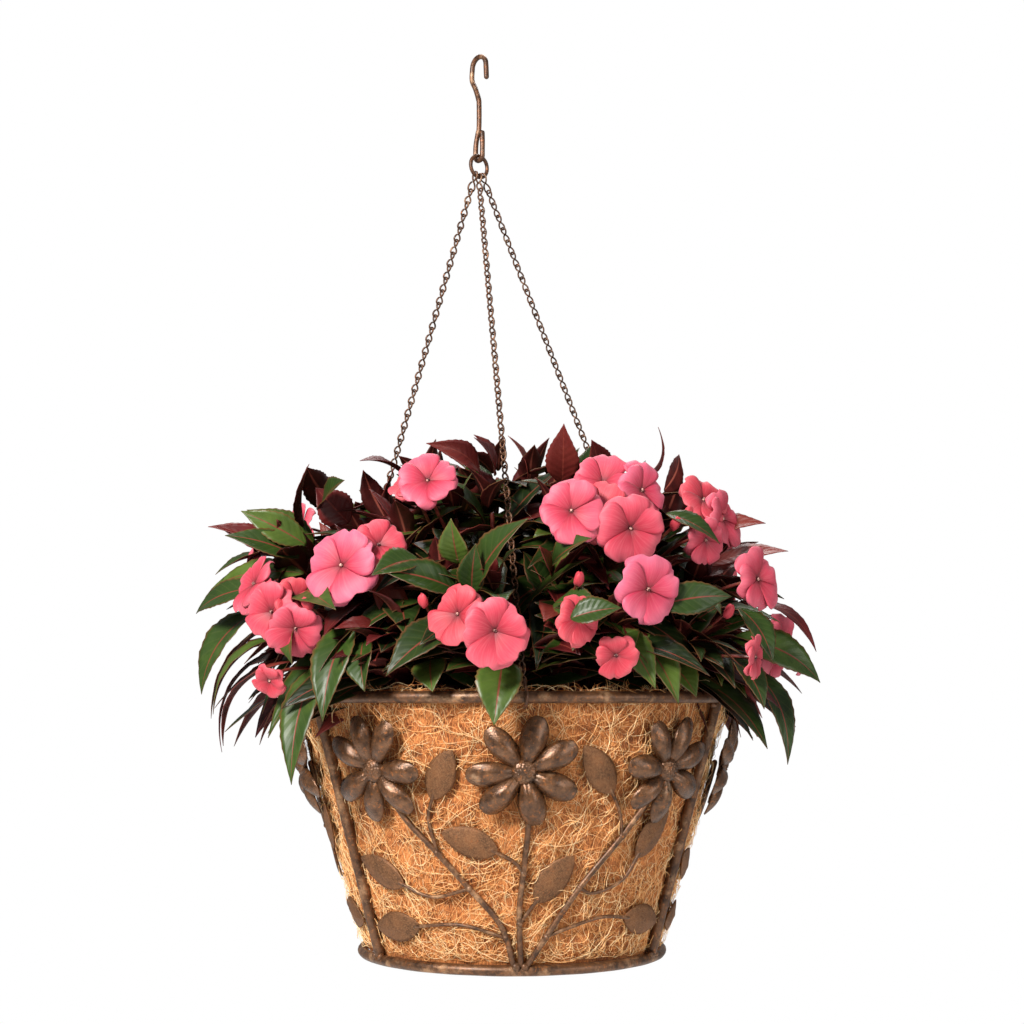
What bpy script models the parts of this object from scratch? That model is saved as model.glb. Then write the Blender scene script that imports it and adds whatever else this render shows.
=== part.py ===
"""Hanging basket: a forged-look rod frame with stamped flowers and vines, a coir liner with
planting, three link chains, a ring and a wire hook.

Metres, +Z up, front towards -Y. The origin is the inside top of the hook's bight, where the
basket hangs. Azimuths are degrees round the basket's own axis, 0 at the front, positive to +X.
"""

import math

import bmesh
import bpy
import numpy as np
from mathutils import Matrix, Vector

GAP = 0.0003  # between pieces that touch or are welded
FACET_GAP = 0.0006  # the same, next to a round wall made of flats

# Frame
BASKET_OFFSET = 0.031  # the basket's axis stands this far to +X of the hook
HANG_DROP = 0.598  # origin to the rim's centre line
RIM_RADIUS = 0.198
RIM_ROD = 0.005  # all rods and wires are given by their radius
BASKET_DEPTH = 0.223  # rim centre line to base ring centre line
BASE_RADIUS = 0.133
BASE_ROD = 0.0045
UPRIGHT_ROD = 0.0045
PANELS = {"front": 0, "right": 120, "left": 240}
UPRIGHT_TURN = 60  # from a panel's middle to the upright at its edge
ROUND_STEPS = 48
ROD_SIDES = 8

# Base cross
ARM_WIDTH = 0.014
ARM_THICKNESS = 0.003
HUB_RADIUS = 0.024
HUB_SIDES = 24

# Flowers
PETALS = 7
PETAL_REACH = 0.0445
PETAL_VALLEY = 0.014
PETAL_RISE = 0.005
PETAL_SHEET = 0.0012
PETAL_OUTLINE = [  # (turn in half petals, share of the reach, share of the rise)
    (0, 1, 1), (0.55, 0.86, 0.75), (1, None, 0), (1.45, 0.86, 0.75),
]
FLOWER_TURN = 40
FLOWER_ROLL = {"left": -14, "middle": 13, "right": 18}  # how each rosette is turned on its face
FLOWER_BELOW_RIM = 0.008  # clear space from the rim's underside to a petal
FLOWER_STAND_OFF = 0.0040
FLOWER_HUB = 0.011
SEED_HEAD_RADIUS = 0.0105
SEED_HEAD_RISE = 0.0075
SEED_HEAD_STEPS = 10
SEED_HEAD_PROFILE = [(0, 1), (0.65, 0.8), (1, 0.3), (1, 0), (0, 0)]  # shares of radius and rise

# Vines: (azimuth, share of the way from the flower's centre down to the base ring)
STEM_WIRE = 0.0025
TWIG_WIRE = 0.0015
STEM_CAP = 0.6 * STEM_WIRE  # how far a slanted stem's cap passes its end
TWIG_OVERLAP = 0.12  # share of a leaf's length its twig runs under
VINE_STAND_OFF = 0.001
STEM_SPREAD = 0.006  # between stems where they meet the base ring
LEAF_WIDTH = 0.026
LEAF_SHEET = 0.0012
LEAF_CROWN = 0.0012
VINES = {
    "left": {
        "flower": -1,
        "foot": -1,
        "path": [(-35, 0.23), (-25, 0.43), (-16, 0.61), (-6.5, 0.80)],
        "leaves": [
            {"tip": (-18, -0.10), "base": (-25, 0.155), "twig": [(-26.5, 0.26), (-25, 0.43)]},
            {"tip": (-55.5, 0.48), "base": (-38.5, 0.61), "twig": [(-28.5, 0.66), (-16, 0.61)]},
            {"tip": (-55.5, 0.85), "base": (-35, 0.82), "twig": [(-20, 0.80), (-5.2, 0.86)]},
        ],
    },
    "middle": {
        "flower": 0,
        "foot": 0,
        "path": [(1.5, 0.24), (0.5, 0.50), (-0.7, 0.73)],
        "leaves": [
            {"tip": (-23, 0.32), "base": (-7, 0.42), "twig": [(-2.4, 0.47), (0.4, 0.53)]},
            {"tip": (15, 0.44), "base": (4.2, 0.68), "twig": [(1.6, 0.74), (-0.6, 0.79)]},
        ],
    },
    "right": {
        "flower": 1,
        "foot": 1,
        "path": [(39, 0.12), (30, 0.35), (18, 0.61), (8.3, 0.86)],
        "leaves": [
            {"tip": (15, -0.12), "base": (25, 0.13), "twig": [(28, 0.23), (30, 0.35)]},
            {"tip": (46.5, 0.22), "base": (37, 0.47), "twig": [(33, 0.58), (23, 0.64), (18, 0.61)]},
            {"tip": (55.5, 0.83), "base": (37, 0.78), "twig": [(27, 0.77), (15, 0.82), (8.3, 0.86)]},
        ],
    },
}

# Hook: a wire bight over a closed eye, in a plane turned from the front
HOOK_WIRE = 0.0024
HOOK_TURN = 50
BIGHT_RADIUS = 0.0095
HOOK_TIP_DROP = 0.0195
SHANK_TOP = 0.038
SHANK_FOOT = 0.066
EYE_FOOT = 0.098  # depth of the eye's lowest wire
EYE_RADIUS = 0.0047

# Ring and chains
RING_RADIUS = 0.01025
RING_WIRE = 0.0018
RING_STEPS = 24
LINK_WIRE = 0.000875
LINK_LENGTH = 0.0160
LINK_WIDTH = 0.0080
TOP_LINK_WIDTH = 5.2 * RING_WIRE  # the loop that rocks on the ring
LINK_PITCH = 0.0123
LINK_PLACES = {"left": -28, "front": 0, "right": 28}  # degrees round the ring's foot
LINK_END = 2.35 * LINK_WIRE  # an open wire end from the link's waist
LINK_END_STEP = 0.3 * LINK_WIRE  # and along the link from it
LOOP_TURNS = (0, 0.8, 1.57, 2.34, math.pi)  # corners of half a wire loop, in radians
WAIST_RADIUS = 0.0015
RIM_HOOK_WIRE = 0.0015
RIM_HOOK_CLEAR = 0.0004
RIM_HOOK_LIP = 0.004
RIM_HOOK_EYE = 0.0145  # from the rim's centre up the chain to the top of the rim hook

# Liner, soil and plants
LINER_WALL = 0.009
LINER_INSET = 0.0058  # from the frame's cone to the liner
LINER_STAND = 0.006  # above the rim's centre line
LINER_CORNER = 0.008
SOIL_DROP = 0.028
FOLIAGE_SHIFT = -0.006  # the plants' middle from the basket's axis
FOLIAGE_OVERHANG = 0.072
FOLIAGE_HEIGHT = 0.222
FOLIAGE_SKIRT = 0.020
FOLIAGE_WALL = 0.018
FOLIAGE_COLUMNS = 9
FOLIAGE_PROFILE = [  # (share of the reach, share of the height)
    (0.04, 1.0), (0.33, 0.968), (0.59, 0.838), (0.80, 0.64), (0.92, 0.405), (0.985, 0.158), (1.0, 0.0),
]
PLANTS = {  # each between two chains
    "right": ("front", "right"),
    "back": ("right", "left"),
    "left": ("left", "front"),
}
CHAIN_SLOT = 0.010  # from a chain's plane to the leaves each side
STEM_CLUMP_FOOT = 0.022
STEM_CLUMP_HEAD = 0.030
STEM_CLUMP_REACH = 0.45  # share of the way from the foliage's apex to its outline
STEM_CLUMP_SIDES = 12

# Finishes: (colour, roughness, metallic)
BRONZE = ((0.075, 0.045, 0.030), 0.45, 0.85)
CHAIN_BRONZE = ((0.15, 0.075, 0.045), 0.42, 0.9)
COIR = ((0.62, 0.35, 0.13), 0.95, 0)
SOIL = ((0.045, 0.028, 0.018), 1.0, 0)
LEAVES = ((0.03, 0.09, 0.02), 0.5, 0)

# Derived
RIM_Z = -HANG_DROP
BASE_Z = RIM_Z - BASKET_DEPTH
RING_TOP_Z = -EYE_FOOT + HOOK_WIRE + RING_WIRE + GAP
FLOWER_DEPTH = RIM_ROD + FLOWER_BELOW_RIM + PETAL_REACH
VINE_FOOT_DEPTH = BASKET_DEPTH - BASE_ROD - STEM_CAP - GAP
CONE_TILT = math.atan2(RIM_RADIUS - BASE_RADIUS, BASKET_DEPTH)

for old in list(bpy.data.objects):
    bpy.data.objects.remove(old)


def new_collection(name):
    collection = bpy.data.collections.new(name)
    bpy.context.scene.collection.children.link(collection)
    return collection


parts = new_collection("hanging_basket")
cutters = new_collection("welded_in")


def material(name, colour, roughness, metallic):
    made = bpy.data.materials.new(name)
    made.use_nodes = True
    shader = made.node_tree.nodes["Principled BSDF"]
    shader.inputs["Base Color"].default_value = (*colour, 1)
    shader.inputs["Roughness"].default_value = roughness
    shader.inputs["Metallic"].default_value = metallic
    return made


def add(name, data, paint, collection=parts):
    """Link a mesh or curve as a named object with its own material."""
    thing = bpy.data.objects.new(name, data)
    collection.objects.link(thing)
    data.materials.clear()
    data.materials.append(material(name, *paint))
    return thing


def primitive(make, **sizes):
    """The mesh of one of Blender's own solids, without its object."""
    make(**sizes)
    thing = bpy.context.object
    mesh = thing.data
    bpy.data.objects.remove(thing)
    return mesh


def smooth_shading(mesh):
    mesh.shade_smooth()
    mesh.set_sharp_from_angle(angle=math.radians(40))


def wire_curve(name, points, radius, closed=False, resolution=2, radii=None):
    """A bevelled POLY curve with filled caps through the points."""
    curve = bpy.data.curves.new(name, "CURVE")
    curve.dimensions = "3D"
    curve.bevel_depth = radius
    curve.bevel_resolution = resolution
    curve.use_fill_caps = True
    spline = curve.splines.new("POLY")
    spline.points.add(len(points) - 1)
    for index, point in enumerate(points):
        spline.points[index].co = (*point, 1)
        spline.points[index].radius = radii[index] if radii else 1
    spline.use_cyclic_u = closed
    return curve


def rod(name, points, radius, paint, **options):
    return add(name, wire_curve(name, points, radius, **options), paint)


def through(points, steps):
    """A Catmull-Rom curve through the points, with `steps` stretches between each pair."""
    ends = [2 * points[0] - points[1], *points, 2 * points[-1] - points[-2]]
    curve = []
    for a, b, c, d in zip(ends, ends[1:], ends[2:], ends[3:]):
        for step in range(steps):
            t = step / steps
            curve.append(
                0.5 * (2 * b + (c - a) * t + (2 * a - 5 * b + 4 * c - d) * t**2)
                + 0.5 * (3 * b - a - 3 * c + d) * t**3
            )
    return [*curve, points[-1]]


def mesh_from(name, vertices, faces):
    mesh = bpy.data.meshes.new(name)
    mesh.from_pydata([tuple(v) for v in vertices], [], faces)
    mesh.update()
    return mesh


def grid_faces(rows, columns, wrap=False):
    """Quads between rows of points; wrap joins the last column to the first."""
    faces = []
    for row in range(rows - 1):
        here, below = row * columns, (row + 1) * columns
        for column in range(columns if wrap else columns - 1):
            after = (column + 1) % columns
            faces.append((here + column, here + after, below + after, below + column))
    return faces


def turned(name, profile, paint, closed=True, steps=ROUND_STEPS, x=BASKET_OFFSET, z=RIM_Z):
    """A Screw round the Z axis through (x, 0), from (radius, height) points, outer side downwards."""
    count = len(profile)
    mesh = bpy.data.meshes.new(name)
    edges = [(i, i + 1) for i in range(count - 1)] + ([(count - 1, 0)] if closed else [])
    mesh.from_pydata([(radius, 0, height) for radius, height in profile], edges, [])
    thing = add(name, mesh, paint)
    thing.location = (x, 0, z)
    screw = thing.modifiers.new("Turn", "SCREW")
    screw.steps = screw.render_steps = steps
    screw.use_merge_vertices = True
    screw.merge_threshold = 0.00001
    screw.use_smooth_shade = False
    return thing


def weld(mesh):
    """Merges doubled points and turns every face outwards."""
    work = bmesh.new()
    work.from_mesh(mesh)
    bmesh.ops.remove_doubles(work, verts=work.verts, dist=0.000001)
    bmesh.ops.recalc_face_normals(work, faces=work.faces)
    work.to_mesh(mesh)
    work.free()


def applied(thing):
    """The evaluated mesh of an object, with curve caps and doubles welded."""
    bpy.context.view_layer.update()
    graph = bpy.context.evaluated_depsgraph_get()
    mesh = bpy.data.meshes.new_from_object(thing.evaluated_get(graph))
    weld(mesh)
    return mesh


def union(name, data_list, paint):
    """One solid from overlapping curves and meshes, joined by exact unions."""
    things = []
    for index, data in enumerate(data_list):
        thing = add(f"{name}_piece_{index}", data, paint, cutters)
        solid = applied(thing)
        bpy.data.objects.remove(thing)
        things.append(add(f"{name}_piece_{index}", solid, paint, cutters))
    first = things[0]
    for other in things[1:]:
        join = first.modifiers.new("Weld", "BOOLEAN")
        join.operation = "UNION"
        join.solver = "EXACT"
        join.object = other
    whole = applied(first)
    for thing in things:
        bpy.data.objects.remove(thing)
    whole.name = name
    return whole


def around(azimuth):
    """Unit vector from the basket's axis towards an azimuth."""
    turn = math.radians(azimuth)
    return Vector((math.sin(turn), -math.cos(turn), 0))


def cone_radius(depth):
    return RIM_RADIUS + (BASE_RADIUS - RIM_RADIUS) * depth / BASKET_DEPTH


def on_cone(azimuth, depth, stand_off=0.0):
    """A point of the frame's cone, `depth` below the rim, moved out along the cone's normal."""
    out = around(azimuth)
    point = Vector((BASKET_OFFSET, 0, RIM_Z - depth)) + out * cone_radius(depth)
    return point + stand_off * (out * math.cos(CONE_TILT) - Vector((0, 0, math.sin(CONE_TILT))))


def vine_depth(share):
    return FLOWER_DEPTH + share * (VINE_FOOT_DEPTH - FLOWER_DEPTH)


def panel_turn(azimuth):
    """Turns a piece of the front panel round the basket's axis."""
    axis = Matrix.Translation((BASKET_OFFSET, 0, 0))
    return axis @ Matrix.Rotation(math.radians(azimuth), 4, "Z") @ axis.inverted()


# Frame rods


def rod_section(centre, radius):
    """A rod's section with flats at its top and foot, outer side downwards."""
    angles = [math.pi / ROD_SIDES + 2 * math.pi * i / ROD_SIDES for i in range(ROD_SIDES)]
    across = radius / math.cos(math.pi / ROD_SIDES)
    return [(centre + across * math.sin(a), across * math.cos(a)) for a in angles]


def make_frame():
    turned("top_rim", rod_section(RIM_RADIUS, RIM_ROD), BRONZE)
    turned("base_ring", rod_section(BASE_RADIUS, BASE_ROD), BRONZE, z=BASE_Z)
    clear = FACET_GAP / math.cos(CONE_TILT)
    high = RIM_ROD / math.cos(math.pi / ROD_SIDES) + clear
    low = BASE_ROD / math.cos(math.pi / ROD_SIDES) + clear
    for name, azimuth in PANELS.items():
        place = azimuth + UPRIGHT_TURN
        points = [on_cone(place, high), on_cone(place, BASKET_DEPTH - low)]
        rod(f"upright_{name}", points, UPRIGHT_ROD, BRONZE)


def make_base_cross():
    """Three flat arms on a hub, level with the base ring, ending just inside it."""
    reach = BASE_RADIUS - BASE_ROD / math.cos(math.pi / ROD_SIDES) - 2 * FACET_GAP
    reach = reach * math.cos(math.pi / ROUND_STEPS)
    cylinder, cube = bpy.ops.mesh.primitive_cylinder_add, bpy.ops.mesh.primitive_cube_add
    pieces = [primitive(cylinder, vertices=HUB_SIDES, radius=HUB_RADIUS, depth=ARM_THICKNESS)]
    for azimuth in PANELS.values():
        bar = primitive(cube, size=1)
        out = around(azimuth + UPRIGHT_TURN)
        scale = Matrix.Diagonal((ARM_WIDTH, reach, ARM_THICKNESS, 1))
        turn = Matrix.Rotation(math.atan2(-out.x, out.y), 4, "Z")
        bar.transform(Matrix.Translation(out * reach / 2) @ turn @ scale)
        pieces.append(bar)
    cross = add("base_cross", union("base_cross", pieces, BRONZE), BRONZE)
    cross.location = (BASKET_OFFSET, 0, BASE_Z)


# Flowers


def rosette_mesh():
    """Seven domed petals round a flat hub: rings from the hub to the petals' edge."""
    half = math.pi / PETALS
    rings = [(0, 0), (0.55, PETAL_RISE), (1, 0.4 * PETAL_RISE)]
    points = []
    for share, rise in rings:
        for petal in range(PETALS):
            for mark, reach, height in PETAL_OUTLINE:
                angle = (2 * petal + mark) * half
                edge = PETAL_REACH * reach if reach else PETAL_VALLEY
                radius = FLOWER_HUB + (edge - FLOWER_HUB) * share
                points.append((radius * math.sin(angle), radius * math.cos(angle), rise * height))
    count = PETALS * len(PETAL_OUTLINE)
    faces = grid_faces(len(rings), count, wrap=True)
    faces.append(tuple(range(count - 1, -1, -1)))
    return mesh_from("flower", points, faces)


def make_flowers():
    rosette = rosette_mesh()
    for panel, middle in PANELS.items():
        for place, side in (("left", -1), ("middle", 0), ("right", 1)):
            azimuth = middle + side * FLOWER_TURN
            frame = (
                Matrix.Rotation(math.radians(azimuth), 4, "Z")
                @ Matrix.Rotation(math.pi / 2 + CONE_TILT, 4, "X")
                @ Matrix.Rotation(math.radians(-FLOWER_ROLL[place]), 4, "Z")
            )
            name = f"flower_{panel}_{place}"
            flower = add(name, rosette.copy(), BRONZE)
            seat = on_cone(azimuth, FLOWER_DEPTH, FLOWER_STAND_OFF)
            flower.matrix_world = Matrix.Translation(seat) @ frame
            sheet = flower.modifiers.new("Sheet", "SOLIDIFY")
            sheet.thickness = PETAL_SHEET
            sheet.offset = 1
            dome = [(r * SEED_HEAD_RADIUS, z * SEED_HEAD_RISE) for r, z in SEED_HEAD_PROFILE]
            name = f"seed_head_{panel}_{place}"
            head = turned(name, dome, BRONZE, closed=False, steps=SEED_HEAD_STEPS)
            seat = on_cone(azimuth, FLOWER_DEPTH, FLOWER_STAND_OFF + PETAL_SHEET + GAP)
            head.matrix_world = Matrix.Translation(seat) @ frame


# Vines


def vine_point(mark, stand_off=VINE_STAND_OFF):
    azimuth, share = mark
    return on_cone(azimuth, vine_depth(share), stand_off)


def leaf_mesh(leaf):
    """A pointed, crowned leaf on the cone between its base and tip."""
    base, tip = np.array(leaf["base"]), np.array(leaf["tip"])
    shares = (0, 0.2, 0.45, 0.7, 1)
    widths = (0.08, 0.78, 1.0, 0.72, 0.03)
    depth = vine_depth((base[1] + tip[1]) / 2)
    across_unit = math.degrees(1 / cone_radius(depth))
    drop_unit = 1 / (VINE_FOOT_DEPTH - FLOWER_DEPTH)
    run = np.array([(tip[0] - base[0]) / across_unit, (tip[1] - base[1]) / drop_unit])
    side = np.array([-run[1], run[0]]) / np.hypot(*run)
    points = []
    for share, width in zip(shares, widths):
        for edge in (-1, 0, 1):
            shift = side * edge * width * LEAF_WIDTH / 2
            azimuth = base[0] + (tip[0] - base[0]) * share + shift[0] * across_unit
            drop = base[1] + (tip[1] - base[1]) * share + shift[1] * drop_unit
            crown = LEAF_CROWN * (1 - edge**2) * math.sin(math.pi * share)
            points.append(vine_point((azimuth, drop), VINE_STAND_OFF + crown))
    mesh = mesh_from("leaf", points, grid_faces(len(shares), 3))
    outward = around(base[0])
    if mesh.polygons[3].normal.dot(outward) < 0:
        mesh.flip_normals()
    shell = bpy.data.objects.new("leaf", mesh)
    cutters.objects.link(shell)
    sheet = shell.modifiers.new("Sheet", "SOLIDIFY")
    sheet.thickness = LEAF_SHEET
    sheet.offset = 0
    solid = applied(shell)
    bpy.data.objects.remove(shell)
    return solid


def make_vines():
    for side, vine in VINES.items():
        foot_turn = math.degrees(STEM_SPREAD / cone_radius(VINE_FOOT_DEPTH))
        marks = [(vine["flower"] * FLOWER_TURN, 0), *vine["path"], (vine["foot"] * foot_turn, 1)]
        stem = through([vine_point(mark) for mark in marks], 2)
        pieces = [wire_curve("stem", stem, STEM_WIRE, resolution=1)]
        for leaf in vine["leaves"]:
            inside = [b + TWIG_OVERLAP * (t - b) for b, t in zip(leaf["base"], leaf["tip"])]
            twig = through([vine_point(mark) for mark in (inside, *leaf["twig"])], 2)
            pieces.append(wire_curve("twig", twig, TWIG_WIRE, resolution=0))
            pieces.append(leaf_mesh(leaf))
        mesh = union(f"vine_{side}", pieces, BRONZE)
        for panel, azimuth in PANELS.items():
            stem = add(f"vine_{panel}_{side}", mesh.copy(), BRONZE)
            stem.matrix_world = panel_turn(azimuth)


# Hook and ring

HOOK_AXIS = Vector((math.cos(math.radians(HOOK_TURN)), -math.sin(math.radians(HOOK_TURN)), 0))
RING_AXIS = Vector((math.sin(math.radians(HOOK_TURN)), math.cos(math.radians(HOOK_TURN)), 0))


def arc(centre_s, centre_z, radius, start, stop, steps):
    """Points (s, z) round a centre, angles in degrees from +s towards +z."""
    turns = [math.radians(start + (stop - start) * i / steps) for i in range(steps + 1)]
    return [(centre_s + radius * math.cos(t), centre_z + radius * math.sin(t)) for t in turns]


def make_hook():
    top = HOOK_WIRE - BIGHT_RADIUS
    path = [(1.08 * BIGHT_RADIUS, -HOOK_TIP_DROP)]
    path += arc(0, top, BIGHT_RADIUS, 0, 180, 8)
    bend = (SHANK_TOP + BIGHT_RADIUS) / 2
    path += [(-1.05 * BIGHT_RADIUS, -0.75 * bend), (-0.55 * BIGHT_RADIUS, -1.15 * bend)]
    path += [(-0.1 * BIGHT_RADIUS, -SHANK_TOP)]
    path += [(0, -SHANK_TOP - 0.006), (0, -SHANK_FOOT), (-0.35 * EYE_RADIUS, -SHANK_FOOT - 0.006)]
    centre = -EYE_FOOT + EYE_RADIUS
    path += [(-0.9 * EYE_RADIUS, centre + 0.011)]
    path += arc(0, centre, EYE_RADIUS, 180, 360, 8)
    path += [(1.02 * EYE_RADIUS, centre + 0.011), (0.95 * EYE_RADIUS, -SHANK_FOOT - 0.006)]
    points = [HOOK_AXIS * s + Vector((0, 0, z)) for s, z in path]
    rod("hook", points, HOOK_WIRE, CHAIN_BRONZE)


def make_ring():
    centre = Vector((0, 0, RING_TOP_Z - RING_RADIUS))
    points = [
        centre + RING_AXIS * s + Vector((0, 0, z))
        for s, z in arc(0, 0, RING_RADIUS, 0, 360, RING_STEPS)[:-1]
    ]
    rod("ring", points, RING_WIRE, CHAIN_BRONZE, closed=True, resolution=1)


# Chains


def chain_frame(name):
    """A chain's seat on the ring, its end at the rim and its unit vectors.

    along runs down the chain, out is square to it in its upright plane and points away from
    the basket's axis, and seat_axis is the ring's own direction at the seat."""
    turn = math.radians(LINK_PLACES[name])
    seat = Vector((0, 0, RING_TOP_Z - RING_RADIUS)) + RING_RADIUS * (
        RING_AXIS * math.sin(turn) - Vector((0, 0, math.cos(turn)))
    )
    seat_axis = RING_AXIS * math.cos(turn) + Vector((0, 0, math.sin(turn)))
    end = on_cone(PANELS[name], 0)
    along = (end - seat).normalized()
    level = Vector((along.x, along.y, 0)).normalized()
    out = (level - along * level.dot(along)).normalized()
    return seat, end, along, out, seat_axis


TOP_LINK_HALF = TOP_LINK_WIDTH / 2 - LINK_WIRE  # the loop round the ring, to the wire's middle
LINK_HALF = LINK_WIDTH / 2 - LINK_WIRE  # the loop that holds the chain
LINK_RISE = RING_WIRE + LINK_WIRE + FACET_GAP  # from the ring's wire up to the top link's crown
RUN_START = LINK_LENGTH - LINK_RISE + FACET_GAP + WAIST_RADIUS  # the chain's pivot below its seat


def make_top_link(name):
    """A figure-eight wire link: one loop round the ring, the other square to it."""
    seat, _, along, _, seat_axis = chain_frame(name)
    across = (seat_axis - along * seat_axis.dot(along)).normalized()
    broad = across.cross(along).normalized()
    span = LINK_LENGTH - 2 * LINK_WIRE
    waist = span / 2

    def loop(direction, half, crown, sign):
        """One loop of a half width from the waist round its crown."""
        centre = crown + sign * half
        marks = [(math.cos(t), sign * math.sin(t)) for t in LOOP_TURNS]
        return [direction * half * s + along * (centre - half * a) for s, a in marks]

    start = broad * LINK_END + along * (waist - LINK_END_STEP)
    finish = across * LINK_END + along * (waist + LINK_END_STEP)
    points = [start, *loop(broad, TOP_LINK_HALF, 0, 1), along * waist]
    points += [*reversed(loop(across, LINK_HALF, span, -1)), finish]
    origin = seat - along * LINK_RISE
    rod(f"top_link_{name}", [origin + p for p in points], LINK_WIRE, CHAIN_BRONZE, resolution=1)


def make_chain(name):
    """The run of links as one bead-like solid, thick at each joint and thin at each waist."""
    seat, end, along, _, _ = chain_frame(name)
    finish = (end - seat).length - RIM_HOOK_EYE - RIM_HOOK_WIRE - FACET_GAP
    links = round((finish - RUN_START) / LINK_PITCH)
    points, radii = [], []
    for step in range(2 * links + 1):
        points.append(seat + along * (RUN_START + (finish - RUN_START) * step / (2 * links)))
        radii.append(1.0 if step % 2 else WAIST_RADIUS / (LINK_WIDTH / 2))
    rod(f"chain_{name}", points, LINK_WIDTH / 2, CHAIN_BRONZE, resolution=0, radii=radii)


def make_rim_hook(name):
    """A wire hook whose two legs pass over and under the rim, open towards the basket."""
    _, end, along, out, _ = chain_frame(name)
    hold = RIM_ROD / math.cos(math.pi / ROD_SIDES) + RIM_HOOK_WIRE + RIM_HOOK_CLEAR
    top = RIM_HOOK_EYE
    eye = [(-0.0026, -top + 0.0032), (-0.0014, -top + 0.0006), (0.0012, -top), (0.0030, -top + 0.0022)]
    path = [*eye, (0.62 * hold, -1.25 * hold), (0.93 * hold, -0.62 * hold)]
    path += arc(0, 0, hold, 0, 90, 5)
    path += [(-RIM_HOOK_LIP, hold)]
    points = [end + out * s + along * a for s, a in path]
    rod(f"rim_hook_{name}", points, RIM_HOOK_WIRE, CHAIN_BRONZE, resolution=1)


# Liner, soil and plants


def liner_radius(depth):
    return cone_radius(depth) - LINER_INSET


LINER_FOOT = BASKET_DEPTH - ARM_THICKNESS / 2 - GAP


def liner_inside(clear=0.0):
    """The liner's inner wall from its foot's middle up to the rim, drawn in by a clearance."""
    foot, corner, wall = LINER_FOOT, LINER_CORNER, LINER_WALL
    low = foot - corner - 0.4 * wall
    return [
        (0, wall + clear - foot),
        (liner_radius(foot) - corner - 0.4 * wall - clear, wall + clear - foot),
        (liner_radius(low) - wall - clear, -low),
        (liner_radius(0) - wall - clear, 0),
    ]


def make_liner():
    foot, corner = LINER_FOOT, LINER_CORNER
    edge = [(liner_radius(0) - LINER_WALL, LINER_STAND), (liner_radius(0) - 0.0005, LINER_STAND)]
    outer = [
        (liner_radius(0), 0),
        (liner_radius(foot / 2), -foot / 2),
        (liner_radius(foot - corner), corner - foot),
        (liner_radius(foot) - 0.35 * corner, 0.35 * corner - foot),
        (liner_radius(foot) - corner, -foot),
        (0, -foot),
    ]
    turned("coir_liner", liner_inside() + edge + outer, COIR, closed=False)


def make_soil():
    wall = liner_inside(FACET_GAP)[:-1]
    surface = [(liner_radius(SOIL_DROP) - LINER_WALL - FACET_GAP, -SOIL_DROP), (0, -SOIL_DROP)]
    turned("potting_mix", (wall + surface)[::-1], SOIL, closed=False)


def chain_azimuth(name):
    """Azimuth of a chain's upright plane, seen from the hook's line."""
    end = on_cone(PANELS[name], 0)
    return math.degrees(math.atan2(end.x, -end.y)) % 360


def make_plants():
    """One foliage shell on a clump of stems in each sector between two chains."""
    middle = Vector((BASKET_OFFSET + FOLIAGE_SHIFT, 0, 0))
    radius = RIM_RADIUS + FOLIAGE_OVERHANG
    profile = [(share, height * FOLIAGE_HEIGHT) for share, height in FOLIAGE_PROFILE]
    outline = [*profile, (profile[-2][0], -FOLIAGE_SKIRT)]
    for name, (first, second) in PLANTS.items():
        start, stop = chain_azimuth(first), chain_azimuth(second)
        stop += 360 if stop < start else 0
        sector = stop - start
        along = around(start + sector / 2)
        apex = along * CHAIN_SLOT / math.sin(math.radians(sector) / 2)

        def reach(direction):
            """Distance from the apex to the foliage's round outline."""
            ahead = (middle - apex).dot(direction)
            return ahead + math.sqrt(ahead**2 + radius**2 - (middle - apex).length_squared)

        points = []
        for share, height in outline:
            for column in range(FOLIAGE_COLUMNS):
                direction = around(start + sector * column / (FOLIAGE_COLUMNS - 1))
                rise = Vector((0, 0, RIM_Z + height))
                points.append(apex + direction * reach(direction) * share + rise)
        faces = [face[::-1] for face in grid_faces(len(outline), FOLIAGE_COLUMNS)]
        shell = bpy.data.objects.new("foliage", mesh_from("foliage", points, faces))
        cutters.objects.link(shell)
        wall = shell.modifiers.new("Wall", "SOLIDIFY")
        wall.thickness = FOLIAGE_WALL
        wall.offset = -1
        foliage = applied(shell)
        bpy.data.objects.remove(shell)

        clump_share = STEM_CLUMP_REACH + STEM_CLUMP_HEAD / radius
        head = float(np.interp(clump_share, *zip(*profile))) - FOLIAGE_WALL / 3
        foot = -SOIL_DROP + GAP
        clump = primitive(
            bpy.ops.mesh.primitive_cone_add, vertices=STEM_CLUMP_SIDES,
            radius1=STEM_CLUMP_FOOT, radius2=STEM_CLUMP_HEAD, depth=head - foot,
        )
        place = apex + along * reach(along) * STEM_CLUMP_REACH
        clump.transform(Matrix.Translation((place.x, place.y, RIM_Z + (head + foot) / 2)))
        add(f"plant_{name}", union(f"plant_{name}", [foliage, clump], LEAVES), LEAVES)


make_frame()
make_base_cross()
make_flowers()
make_vines()
make_hook()
make_ring()
for chain in PANELS:
    make_top_link(chain)
    make_chain(chain)
    make_rim_hook(chain)
make_liner()
make_soil()
make_plants()
for part in parts.objects:
    if part.type == "MESH":
        smooth_shading(part.data)
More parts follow.
